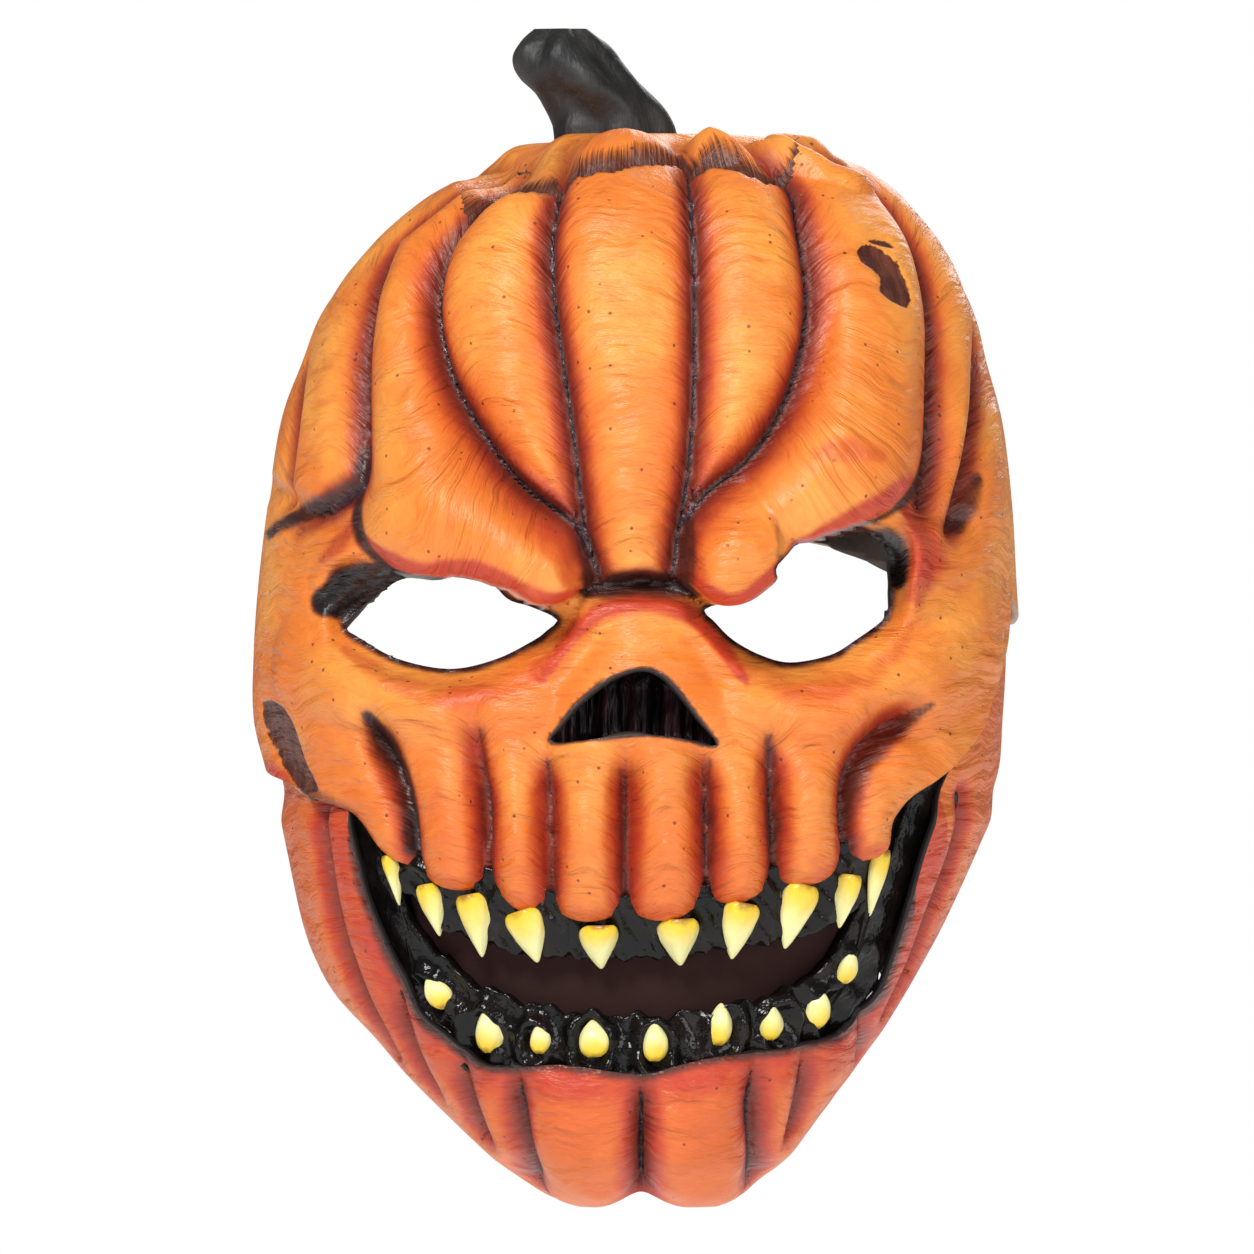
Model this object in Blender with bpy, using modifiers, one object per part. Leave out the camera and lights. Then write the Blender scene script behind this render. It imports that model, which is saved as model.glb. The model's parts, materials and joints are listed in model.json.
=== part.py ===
"""Pumpkin mask: a latex pumpkin face over an open head hollow, with its own jaw, gums, teeth, linings and stem.

The face looks along -Y, +X is the photo's right and +Z is up. The origin is the inside of the crown, where
the mask sits on the wearer's head. Tables are in millimetres.
"""

import math

import bmesh
import bpy
import numpy as np

MM = 0.001

# Main sizes
HALF_WIDTH = 120.5    # half the width of the head
HEIGHT = 337.0        # from the top of the crown to the foot of the chin
FRONT_REACH = 113.0   # from the crown's middle to the front of the lip
BACK_REACH = 84.0     # from the crown's middle to the back of the hood
FULLNESS = 2.3        # how square a level cut through the head is: 2 is an ellipse

# Walls and clearances
WALL = 2.5
SEAT_GAP = 0.4        # clearance between two pieces that touch
CROWN = WALL          # the seat is the crown's inside, so its outside is one wall higher
JAW_INSET = 1.2       # the jaw's skin lies this far inside the head's smooth outside
JAW_TUCK_SLACK = 1.5
TOOTH_GAP = 0.7       # clearance between a tooth's flat back and the curved gum
CORNER_TOOTH_GAP = 1.3
CORNER_TEETH = (1, 9)  # lower teeth that stand where the gum curves most

# Relief
RIB_DEPTH = 10.0
RIB_SPREAD = 20.0     # how far each side of a groove falls in
JAW_RIB_DEPTH = 7.0
JAW_RIB_SPREAD = 17.0
EDGE_RIB_SHARE = 0.3  # how much of a rib's depth is left at the lip's edge
RELIEF_RADIUS = 20.0
RELIEF_HEIGHT = 13.0
RIDGE_CLEAR = 13.0    # raised rounds die away this close to a groove of at least the depth below
RIDGE_CLEAR_DEPTH = 6.0
SOCKET_DEPTH = 11.0   # how deep the skin falls in round each eye hole
SOCKET_SLOPE = 8.0    # and how wide that slope is
LID_STEP = 2.4        # how far the lid lies inside the outer skin below the stem
LID_SLOPE = 4.0
LID_HALF_WIDTH = 60.0
LID_FADE = 8.0
SIDE_FADE = 10.0      # front relief fades out this far round the side

# Gums, teeth and linings
GUM_THICK = 4.5
GUM_DEPTH = WALL + EDGE_RIB_SHARE * RIB_DEPTH + 2 * SEAT_GAP
LOWER_GUM_SLACK = 2.5
LOWER_GUM_DEPTH = JAW_INSET + WALL + LOWER_GUM_SLACK
LINING_DEPTH = GUM_DEPTH + GUM_THICK + 2 * SEAT_GAP
LINING_THICK = 1.5
UPPER_GUM_RISE = 7.0  # how far the upper gum runs up behind the lip
LOWER_GUM_TUCK = 3.5  # how far the lower gum runs down behind the jaw's edge
TOOTH_WIDTH = 13.0
TOOTH_THICK = 5.0
TOOTH_SIDES = 6
NOSE_LINING_DIP = 9.0
NOSE_LINING_THICK = 1.6
NOSE_LINING_FADE_X, NOSE_LINING_FADE_Z = 12.0, 10.0
NOSE_LINING_REACH = (-4.0, 0.0, 4.0)

# Stem
STEM_GAP = 0.7        # above the crown
STEM_HEIGHT = 34.8
STEM_X, STEM_Y = -5.3, -1.0
STEM_HALF_WIDTH = 21.5
STEM_HALF_DEPTH = 19.0
STEM_SIDES = 14
STEM_FLUTES = 4
STEM_FLUTE_DEPTH = 1.8
STEM_TWIST = 0.05

# Mesh
FACE_COLUMNS_FRONT = 48
FACE_COLUMNS_BACK = 16
FACE_ROWS = 29
JAW_COLUMNS = 55
JAW_ROWS = 9
JAW_REAR = 98.0       # azimuth in degrees where the jaw ends on each side
CUT_REACH = 52.0      # cutters start this far in front of the face


def seen(points):
    """Places seen from the front, from shares of the half width and of the height down from the crown."""
    return [(across * HALF_WIDTH, CROWN - down * HEIGHT) for across, down in points]


def round_the_head(points):
    """Azimuths in degrees, 0 at the front and 90 on the right, with heights from shares of the height."""
    return [(azimuth, CROWN - down * HEIGHT) for azimuth, down in points]


def grooves(depth, spread, table):
    return [(name, share * spread, back,
             [(across * HALF_WIDTH, CROWN - down * HEIGHT, deep * depth) for across, down, deep in points])
            for name, share, back, points in table]


def ridges(radius, height, table):
    return [(name, [(across * HALF_WIDTH, CROWN - down * HEIGHT, wide * radius, high * height)
                    for across, down, wide, high in points]) for name, points in table]


def teeth(table):
    return [(root_x * HALF_WIDTH, CROWN - root_z * HEIGHT, tip_x * HALF_WIDTH, CROWN - tip_z * HEIGHT,
             wide * TOOTH_WIDTH, thick * TOOTH_THICK) for root_x, root_z, tip_x, tip_z, wide, thick in table]


# One row per level of the head's outside, as shares: how far down, half width left and right, reach to the
# front and to the back, and where the widest place lies along Y.
SECTION_SHARES = [
    # down,  left,  right, front, back,  middle
    (0.0, 0.218, 0.130, 0.177, 0.238, 0.0),
    (0.003, 0.315, 0.349, 0.354, 0.429, 0.0),
    (0.018, 0.382, 0.564, 0.531, 0.619, 0.0),
    (0.037, 0.465, 0.660, 0.655, 0.738, 0.0),
    (0.058, 0.560, 0.726, 0.735, 0.821, 0.0),
    (0.096, 0.680, 0.813, 0.823, 0.917, 0.0),
    (0.150, 0.801, 0.892, 0.885, 0.976, 0.0),
    (0.206, 0.867, 0.929, 0.920, 1.000, 0.0),
    (0.263, 0.921, 0.971, 0.947, 1.000, 0.0),
    (0.337, 0.954, 0.996, 0.965, 0.976, 0.0),
    (0.411, 0.979, 1.008, 0.956, 0.952, 0.0),
    (0.476, 0.992, 1.017, 0.956, 0.917, 0.0),
    (0.542, 0.992, 1.008, 0.982, 0.869, -0.018),
    (0.598, 0.954, 0.992, 1.000, 0.786, -0.044),
    (0.660, 0.917, 0.921, 1.000, 0.655, -0.071),
    (0.728, 0.876, 0.834, 0.956, 0.536, -0.106),
    (0.767, 0.838, 0.776, 0.920, 0.476, -0.142),
    (0.803, 0.780, 0.718, 0.912, 0.429, -0.177),
    (0.841, 0.680, 0.651, 0.920, 0.381, -0.230),
    (0.877, 0.593, 0.585, 0.929, 0.357, -0.265),
    (0.912, 0.494, 0.502, 0.920, 0.310, -0.301),
    (0.951, 0.378, 0.419, 0.876, 0.262, -0.354),
    (0.972, 0.303, 0.353, 0.814, 0.214, -0.389),
    (0.990, 0.228, 0.295, 0.726, 0.167, -0.425),
    (1.000, 0.124, 0.207, 0.602, 0.119, -0.460),
]
SECTIONS = [(CROWN - down * HEIGHT, left * HALF_WIDTH, right * HALF_WIDTH, front * FRONT_REACH, back * BACK_REACH,
             middle * FRONT_REACH) for down, left, right, front, back, middle in SECTION_SHARES]

# Lower edge of the face seen from the front: x, z from the left cheek to the right cheek.
LIP_EDGE = seen([
    (-0.925, 0.5979), (-0.851, 0.6113), (-0.747, 0.6276), (-0.668, 0.6632), (-0.589, 0.6825),
    (-0.456, 0.6958), (-0.365, 0.7003), (-0.286, 0.7151), (-0.183, 0.7226), (-0.037, 0.7240),
    (0.095, 0.7226), (0.187, 0.7151), (0.369, 0.6988), (0.539, 0.6840), (0.672, 0.6677), (0.697, 0.6350),
    (0.763, 0.6068), (0.842, 0.5831), (0.913, 0.5519), (0.942, 0.5237),
])
# The rest of that edge round the back: azimuth in degrees (0 front, 90 right, -90 left), z.
BACK_EDGE_RIGHT = round_the_head([
    (74, 0.470), (78, 0.429), (86, 0.441), (100, 0.453), (115, 0.453), (131, 0.426), (148, 0.384),
    (165, 0.364),
])
BACK_EDGE_LEFT = round_the_head([
    (-88, 0.589), (-95, 0.565), (-105, 0.518), (-117, 0.470), (-131, 0.426), (-148, 0.384), (-165, 0.364),
])
BACK_EDGE_MIDDLE = CROWN - 0.358 * HEIGHT

# Upper edge of the jaw's orange skin seen from the front: x, z.
JAW_EDGE = seen([
    (-0.755, 0.6246), (-0.730, 0.6632), (-0.697, 0.7092), (-0.643, 0.7552), (-0.602, 0.7878),
    (-0.564, 0.8160), (-0.498, 0.8353), (-0.423, 0.8576), (-0.344, 0.8650), (-0.187, 0.8605),
    (0.021, 0.8694), (0.124, 0.8605), (0.228, 0.8531), (0.411, 0.8472), (0.515, 0.8398), (0.593, 0.8234),
    (0.656, 0.7967), (0.701, 0.7522), (0.739, 0.7077), (0.772, 0.6662), (0.817, 0.6217), (0.863, 0.5831),
])
JAW_TOP_LEFT = round_the_head([
    (-60, 0.559), (-66, 0.530), (-74, 0.515), (-98, 0.515),
])
JAW_TOP_RIGHT = round_the_head([
    (62, 0.518), (66, 0.458), (72, 0.411), (80, 0.393), (98, 0.393),
])
JAW_FOOT = CROWN - 0.9985 * HEIGHT
JAW_TUCK_FOOT = CROWN - 0.6425 * HEIGHT  # below this the jaw's arms are clear of the cheeks
JAW_TUCK_FADE = 12.0

# Opening of the mouth seen from the front: its upper edge is the foot of the upper gum, its lower edge the top
# of the lower gum: x, z.
UPPER_GUM_FOOT = seen([
    (-0.680, 0.6766), (-0.631, 0.6973), (-0.515, 0.7359), (-0.340, 0.7552), (-0.187, 0.7611),
    (0.021, 0.7626), (0.174, 0.7567), (0.332, 0.7507), (0.515, 0.7374), (0.631, 0.7166), (0.697, 0.6825),
])
LOWER_GUM_TOP = seen([
    (-0.730, 0.6869), (-0.680, 0.6988), (-0.631, 0.7226), (-0.548, 0.7567), (-0.456, 0.7834),
    (-0.340, 0.7997), (-0.207, 0.8101), (-0.100, 0.8131), (0.095, 0.8160), (0.241, 0.8086),
    (0.423, 0.7953), (0.556, 0.7671), (0.631, 0.7418), (0.680, 0.7166), (0.730, 0.6929),
])
LINING_TOP = seen([
    (-0.697, 0.654), (-0.498, 0.696), (0.0, 0.720), (0.498, 0.696), (0.697, 0.648),
])
LINING_FOOT = seen([
    (-0.697, 0.720), (-0.564, 0.791), (-0.332, 0.838), (0.0, 0.847), (0.332, 0.838), (0.564, 0.791),
    (0.697, 0.720),
])
UPPER_GUM_ENDS = seen([(-0.660, 0.6721), (0.680, 0.6721)])
LOWER_GUM_ENDS = seen([(-0.697, 0.7018), (0.714, 0.7018)])
LINING_ENDS = seen([(-0.680, 0.684), (0.680, 0.684)])

# Grooves between the ribs. Each point is x, z, depth seen from the front; spread is how far each side of the
# groove falls in; back is True where the groove runs over the back of the head.
FACE_GROOVES = grooves(RIB_DEPTH, RIB_SPREAD, [
    # name, spread, back, points
    ("centre_left", 0.95, False, [
        (-0.166, 0.004, 0.20), (-0.199, 0.043, 0.50), (-0.224, 0.088, 0.80), (-0.216, 0.147, 0.90),
        (-0.191, 0.203, 0.90), (-0.166, 0.260, 0.90), (-0.141, 0.328, 0.90), (-0.124, 0.375, 0.90),
        (-0.091, 0.405, 0.60)]),
    ("centre_right", 0.95, False, [
        (0.116, 0.004, 0.20), (0.149, 0.031, 0.50), (0.166, 0.096, 0.80), (0.170, 0.171, 0.90),
        (0.166, 0.245, 0.90), (0.149, 0.316, 0.90), (0.124, 0.369, 0.90), (0.108, 0.405, 0.60)]),
    ("second_left", 1.00, False, [
        (-0.282, 0.004, 0.20), (-0.423, 0.058, 0.60), (-0.523, 0.102, 0.90), (-0.548, 0.162, 1.00),
        (-0.506, 0.218, 1.00), (-0.407, 0.277, 1.00), (-0.290, 0.325, 0.90), (-0.166, 0.358, 0.80),
        (-0.124, 0.387, 0.60)]),
    ("second_right", 1.00, False, [
        (0.249, 0.004, 0.20), (0.415, 0.031, 0.60), (0.465, 0.079, 0.90), (0.490, 0.138, 1.00),
        (0.473, 0.194, 1.00), (0.407, 0.254, 1.00), (0.315, 0.298, 0.90), (0.199, 0.331, 0.80),
        (0.133, 0.364, 0.60)]),
    ("third_left", 1.00, False, [
        (-0.349, 0.013, 0.20), (-0.548, 0.067, 0.50), (-0.647, 0.096, 0.70), (-0.705, 0.144, 0.80),
        (-0.730, 0.203, 0.80), (-0.730, 0.269, 0.80), (-0.730, 0.316, 0.70), (-0.780, 0.340, 0.50),
        (-0.880, 0.361, 0.30)]),
    ("third_right", 1.00, False, [
        (0.415, 0.013, 0.20), (0.622, 0.037, 0.50), (0.714, 0.067, 0.70), (0.780, 0.108, 0.80),
        (0.813, 0.168, 0.80), (0.813, 0.245, 0.80), (0.805, 0.298, 0.80), (0.772, 0.340, 0.60)]),
    ("fourth_right", 0.80, False, [
        (0.805, 0.079, 0.20), (0.896, 0.156, 0.50), (0.921, 0.233, 0.70), (0.905, 0.298, 0.80),
        (0.871, 0.343, 0.70), (0.846, 0.364, 0.50)]),
    ("fourth_left", 0.80, False, [
        (-0.763, 0.120, 0.20), (-0.863, 0.203, 0.40), (-0.896, 0.274, 0.50), (-0.913, 0.334, 0.30)]),
    ("back_centre", 1.20, True, [
        (0.0, 0.001, 0.20), (0.0, 0.067, 0.60), (0.0, 0.185, 0.80), (0.0, 0.358, 0.60)]),
    ("back_left", 1.20, True, [
        (-0.166, 0.004, 0.20), (-0.382, 0.067, 0.60), (-0.465, 0.185, 0.80), (-0.481, 0.369, 0.60)]),
    ("back_right", 1.20, True, [
        (0.166, 0.004, 0.20), (0.415, 0.067, 0.60), (0.498, 0.185, 0.80), (0.515, 0.375, 0.60)]),
    ("side_left", 1.10, True, [
        (-0.365, 0.013, 0.20), (-0.631, 0.091, 0.50), (-0.797, 0.203, 0.70), (-0.830, 0.393, 0.50)]),
    ("side_right", 1.10, True, [
        (0.415, 0.013, 0.20), (0.714, 0.091, 0.50), (0.863, 0.203, 0.70), (0.896, 0.393, 0.50)]),
    ("lip_1", 0.65, False, [
        (-0.697, 0.542, 0.20), (-0.639, 0.586, 0.50), (-0.598, 0.631, 0.50), (-0.581, 0.678, 0.30)]),
    ("lip_2", 0.65, False, [
        (-0.423, 0.542, 0.20), (-0.398, 0.601, 0.50), (-0.390, 0.648, 0.50), (-0.390, 0.699, 0.30)]),
    ("lip_3", 0.65, False, [
        (-0.224, 0.571, 0.20), (-0.220, 0.625, 0.50), (-0.220, 0.672, 0.50), (-0.220, 0.720, 0.30)]),
    ("lip_4", 0.65, False, [
        (-0.017, 0.574, 0.20), (-0.017, 0.625, 0.50), (-0.017, 0.672, 0.50), (-0.017, 0.723, 0.30)]),
    ("lip_5", 0.65, False, [
        (0.183, 0.571, 0.20), (0.195, 0.619, 0.50), (0.199, 0.666, 0.50), (0.199, 0.714, 0.30)]),
    ("lip_6", 0.65, False, [
        (0.357, 0.553, 0.20), (0.373, 0.607, 0.50), (0.382, 0.648, 0.50), (0.382, 0.696, 0.30)]),
    ("lip_7", 0.70, False, [
        (0.747, 0.530, 0.20), (0.656, 0.553, 0.50), (0.589, 0.583, 0.60), (0.573, 0.625, 0.60),
        (0.581, 0.678, 0.30)]),
    ("nose_fold", 0.40, False, [
        (-0.108, 0.426, 0.20), (-0.050, 0.417, 0.40), (0.025, 0.414, 0.50), (0.100, 0.417, 0.40),
        (0.158, 0.429, 0.20)]),
    ("left_temple", 0.45, False, [
        (-0.730, 0.316, 0.50), (-0.797, 0.337, 0.50), (-0.880, 0.355, 0.30)]),
])
JAW_GROOVES = grooves(JAW_RIB_DEPTH, JAW_RIB_SPREAD, [
    # name, spread, back, points
    ("chin_middle", 1.00, False, [
        (0.021, 0.865, 0.14), (0.025, 0.898, 0.71), (0.025, 0.942, 1.00), (0.025, 0.996, 1.00)]),
    ("chin_left", 0.94, False, [
        (-0.299, 0.862, 0.14), (-0.315, 0.898, 0.71), (-0.299, 0.936, 0.86), (-0.257, 0.975, 0.86),
        (-0.199, 0.996, 0.57)]),
    ("chin_right", 0.94, False, [
        (0.332, 0.847, 0.14), (0.332, 0.898, 0.71), (0.349, 0.939, 0.86), (0.315, 0.975, 0.86),
        (0.266, 0.996, 0.57)]),
    ("outer_left", 0.76, False, [
        (-0.448, 0.856, 0.14), (-0.448, 0.892, 0.57), (-0.407, 0.933, 0.71)]),
    ("outer_right", 0.76, False, [
        (0.456, 0.847, 0.14), (0.465, 0.886, 0.57), (0.440, 0.927, 0.71)]),
    ("side_left", 0.76, False, [
        (-0.622, 0.785, 0.14), (-0.606, 0.838, 0.57), (-0.539, 0.886, 0.57)]),
    ("side_right", 0.76, False, [
        (0.606, 0.809, 0.14), (0.622, 0.856, 0.57), (0.548, 0.892, 0.43)]),
    ("arm_left", 0.59, False, [
        (-0.830, 0.625, 0.43), (-0.805, 0.696, 0.57), (-0.772, 0.749, 0.57), (-0.714, 0.803, 0.57),
        (-0.639, 0.850, 0.43)]),
    ("arm_right", 0.59, False, [
        (0.888, 0.619, 0.43), (0.855, 0.666, 0.57), (0.797, 0.720, 0.57), (0.747, 0.767, 0.57),
        (0.680, 0.815, 0.43)]),
])

# Raised rounds: x, z, radius, height along each one, seen from the front.
FACE_RIDGES = ridges(RELIEF_RADIUS, RELIEF_HEIGHT, [
    ("left_brow", [
        (-0.622, 0.185, 0.70, 0.08), (-0.614, 0.251, 0.90, 0.38), (-0.573, 0.310, 1.05, 0.85),
        (-0.448, 0.352, 0.95, 1.00), (-0.332, 0.375, 0.85, 0.92), (-0.232, 0.402, 0.75, 0.77)]),
    ("right_brow", [
        (0.639, 0.180, 0.70, 0.08), (0.639, 0.245, 0.90, 0.38), (0.606, 0.295, 0.90, 0.85),
        (0.481, 0.325, 0.85, 0.92), (0.382, 0.343, 0.75, 0.85)]),
    ("right_knuckle", [
        (0.315, 0.369, 0.75, 0.77), (0.249, 0.387, 0.80, 1.00)]),
    ("nose_bridge", [
        (0.021, 0.441, 1.00, 0.38), (0.021, 0.482, 1.20, 0.62)]),
    ("nose_left_side", [
        (-0.166, 0.476, 0.70, 0.31), (-0.282, 0.547, 0.70, 0.23)]),
    ("nose_right_side", [
        (0.199, 0.476, 0.70, 0.31), (0.299, 0.547, 0.70, 0.23)]),
    ("left_cheekbone", [
        (-0.846, 0.482, 0.75, 0.31), (-0.697, 0.512, 0.75, 0.31), (-0.498, 0.527, 0.65, 0.23)]),
    ("right_cheekbone", [
        (0.880, 0.476, 0.90, 0.31), (0.697, 0.506, 0.80, 0.38), (0.481, 0.524, 0.65, 0.23)]),
    ("muzzle", [
        (-0.498, 0.619, 1.30, 0.23), (0.0, 0.636, 1.50, 0.31), (0.498, 0.619, 1.30, 0.23)]),
])

# Eye holes and nose hole seen from the front.
LEFT_EYE = seen([
    (-0.747, 0.455), (-0.718, 0.441), (-0.676, 0.429), (-0.598, 0.411), (-0.498, 0.408), (-0.394, 0.405),
    (-0.324, 0.429), (-0.266, 0.436), (-0.195, 0.448), (-0.220, 0.458), (-0.253, 0.467), (-0.353, 0.485),
    (-0.473, 0.494), (-0.606, 0.485), (-0.701, 0.467),
])
RIGHT_EYE = seen([
    (0.191, 0.438), (0.307, 0.427), (0.373, 0.407), (0.382, 0.383), (0.515, 0.374), (0.606, 0.368),
    (0.664, 0.387), (0.672, 0.420), (0.664, 0.439), (0.647, 0.450), (0.581, 0.467), (0.515, 0.481),
    (0.411, 0.488), (0.332, 0.481), (0.261, 0.467), (0.216, 0.451),
])
NOSE_HOLE = seen([
    (0.021, 0.494), (-0.058, 0.503), (-0.137, 0.524), (-0.187, 0.546), (-0.212, 0.562), (-0.083, 0.558),
    (0.021, 0.555), (0.124, 0.558), (0.220, 0.565), (0.178, 0.542), (0.124, 0.516), (0.075, 0.499),
])

# The seam where the outer skin ends below the stem: x, z seen from the front, and how far the lid lies inside.
LID_SEAM = seen([
    (-0.465, 0.064), (-0.315, 0.034), (-0.166, 0.033), (0.0, 0.037), (0.133, 0.025), (0.232, 0.025),
    (0.398, 0.034),
])

# Teeth: root x and z, tip x and z, width and thickness.
UPPER_TEETH = teeth([
    # root x, z, tip x, z, width, thickness
    (-0.6639, 0.6677, -0.6373, 0.7136, 0.42, 0.72),
    (-0.5602, 0.6944, -0.5270, 0.7418, 0.66, 0.92),
    (-0.4440, 0.7033, -0.4108, 0.7611, 0.82, 1.00),
    (-0.3029, 0.7181, -0.2589, 0.7659, 0.92, 1.00),
    (-0.0871, 0.7315, -0.0846, 0.7718, 0.94, 1.00),
    (0.1286, 0.7255, 0.1328, 0.7688, 1.00, 1.00),
    (0.3029, 0.7107, 0.2739, 0.7629, 0.89, 1.00),
    (0.4689, 0.6944, 0.4199, 0.7534, 0.88, 1.00),
    (0.5959, 0.6855, 0.5693, 0.7344, 0.68, 0.92),
    (0.6805, 0.6617, 0.6523, 0.7240, 0.51, 0.76),
])
LOWER_TEETH = teeth([
    # root x, z, tip x, z, width, thickness
    (-0.5079, 0.8080, -0.5577, 0.7807, 0.63, 0.84),
    (-0.3934, 0.8501, -0.4033, 0.8104, 0.71, 0.88),
    (-0.2539, 0.8507, -0.2556, 0.8223, 0.52, 0.84),
    (-0.1046, 0.8537, -0.1095, 0.8193, 0.74, 0.88),
    (0.0614, 0.8573, 0.0614, 0.8211, 0.62, 0.84),
    (0.2357, 0.8430, 0.2473, 0.8039, 0.62, 0.84),
    (0.3768, 0.8383, 0.3867, 0.8056, 0.62, 0.84),
    (0.5029, 0.8282, 0.5195, 0.7914, 0.66, 0.84),
    (0.5726, 0.7868, 0.6008, 0.7560, 0.54, 0.66),
])
TOOTH_PROFILE = [(0.0, 0.62, 0.7), (0.28, 1.0, 1.0), (0.62, 0.8, 0.85), (0.88, 0.38, 0.45), (1.0, 0.12, 0.2)]
LOWER_TOOTH_PROFILE = [(0.0, 0.42, 0.5), (0.25, 0.9, 0.95), (0.55, 1.0, 1.0), (0.82, 0.66, 0.7), (1.0, 0.2, 0.3)]

# Stem: height, centre x and y, half width along X and Y.
STEM_RINGS = [
    # up, across, along, wide, deep
    (0.0, 0.0, 0.0, 1.000, 1.000),
    (0.095, -0.033, -0.026, 0.930, 0.921),
    (0.224, -0.135, -0.053, 0.884, 0.868),
    (0.382, -0.321, -0.105, 0.893, 0.842),
    (0.540, -0.544, -0.158, 0.912, 0.821),
    (0.713, -0.712, -0.211, 0.791, 0.789),
    (0.871, -0.777, -0.237, 0.633, 0.663),
    (1.000, -0.805, -0.237, 0.372, 0.421),
]

NOSE_LINING_BOX = (-0.241 * HALF_WIDTH, 0.249 * HALF_WIDTH, CROWN - 0.583 * HEIGHT, CROWN - 0.484 * HEIGHT)

COLOURS = {
    "face": (0.93, 0.38, 0.08),
    "jaw": (0.86, 0.30, 0.07),
    "gum": (0.02, 0.02, 0.02),
    "tooth": (0.93, 0.78, 0.28),
    "stem": (0.03, 0.03, 0.03),
    "mouth_cloth": (0.04, 0.02, 0.018),
    "nose_skin": (0.07, 0.03, 0.035),
}


def start_empty():
    for thing in list(bpy.data.objects):
        bpy.data.objects.remove(thing, do_unlink=True)


def collection(name, hidden=False):
    made = bpy.data.collections.new(name)
    bpy.context.scene.collection.children.link(made)
    made.hide_render = hidden
    return made


def material(name, colour, roughness=0.5):
    made = bpy.data.materials.new(name)
    made.use_nodes = True
    shader = made.node_tree.nodes["Principled BSDF"]
    shader.inputs["Base Color"].default_value = (*colour, 1.0)
    shader.inputs["Roughness"].default_value = roughness
    return made


def smooth_rows(table, position):
    """Values of a table at fractional row numbers, along a smooth curve through its rows."""
    rows = np.asarray(table, float)
    last = len(rows) - 1
    position = np.clip(np.asarray(position, float), 0.0, last)
    low = np.minimum(position.astype(int), last - 1)
    share = (position - low)[..., None]
    before = rows[np.maximum(low - 1, 0)]
    first, second = rows[low], rows[low + 1]
    after = rows[np.minimum(low + 2, last)]
    start, end = (second - before) / 2, (after - first) / 2
    square, cube = share ** 2, share ** 3
    return ((2 * cube - 3 * square + 1) * first + (cube - 2 * square + share) * start
            + (3 * square - 2 * cube) * second + (cube - square) * end)


DENSE = np.linspace(0, len(SECTIONS) - 1, 2000)
DENSE_LEVELS = smooth_rows(SECTIONS, DENSE)
PROFILE = np.stack([(DENSE_LEVELS[:, 1] + DENSE_LEVELS[:, 2] + DENSE_LEVELS[:, 3]) / 3, DENSE_LEVELS[:, 0]], 1)
LENGTHS = np.concatenate([[0.0], np.cumsum(np.linalg.norm(np.diff(PROFILE, axis=0), axis=1))])


def row_at_height(z):
    return np.interp(-np.asarray(z, float), -DENSE_LEVELS[:, 0], DENSE)


def signed_power(value, power):
    return np.sign(value) * np.abs(value) ** power


def head_point(azimuth, row, inside=0.0):
    """Point on the smooth outside of the head, or that far inside it. Azimuth in degrees, 0 at the front."""
    level = smooth_rows(SECTIONS, row)
    z, left, right, front, back, middle = (level[..., k] for k in range(6))
    angle = np.radians(azimuth)
    across, along = np.sin(angle), np.cos(angle)
    half = np.where(across >= 0, right, left) - inside
    reach = np.where(along >= 0, front + middle, back - middle) - inside
    x = half * signed_power(across, 2 / FULLNESS)
    y = middle - reach * signed_power(along, 2 / FULLNESS)
    return np.stack([x, y, z * np.ones_like(x)], -1)


def azimuth_of(x, z):
    """Azimuth in degrees of a place on the front half, seen from the front."""
    x, z = np.asarray(x, float), np.asarray(z, float)
    level = smooth_rows(SECTIONS, row_at_height(z))
    half = np.where(x >= 0, level[..., 2], level[..., 1])
    share = np.clip(np.abs(x) / half, 0, 1) ** (FULLNESS / 2)
    return np.sign(x) * np.degrees(np.arcsin(share))


def seen_point(x, z, back=False, inside=0.0):
    angle = azimuth_of(x, z)
    if back:
        angle = np.where(angle >= 0, 180 - angle, -180 - angle)
    return head_point(angle, row_at_height(z), inside)


def edge_heights(points, more_left=(), more_right=()):
    """Table of azimuth and height from points seen from the front plus points given by azimuth."""
    rows = [(float(azimuth_of(x, z)), z) for x, z in points]
    rows += [(float(a), float(z)) for a, z in list(more_left) + list(more_right)]
    rows.sort()
    return np.array(rows)


def height_at(edge, azimuth):
    return np.interp(azimuth, edge[:, 0], edge[:, 1])


def refine(points, steps=4):
    return smooth_rows(points, np.linspace(0, len(points) - 1, (len(points) - 1) * steps + 1))


def nearest_on_path(places, path, values):
    """Distance from each place to a path, and the path's values at the nearest place on it."""
    best = np.full(len(places), 1e9)
    found = np.zeros((len(places), values.shape[1]))
    for first, second, low, high in zip(path[:-1], path[1:], values[:-1], values[1:]):
        along = second - first
        size = max(float(along @ along), 1e-9)
        share = np.clip(((places - first) @ along) / size, 0, 1)
        gap = np.linalg.norm(places - (first + share[:, None] * along), axis=1)
        closer = gap < best
        best = np.where(closer, gap, best)
        found[closer] = (low + share[:, None] * (high - low))[closer]
    return best, found


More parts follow.
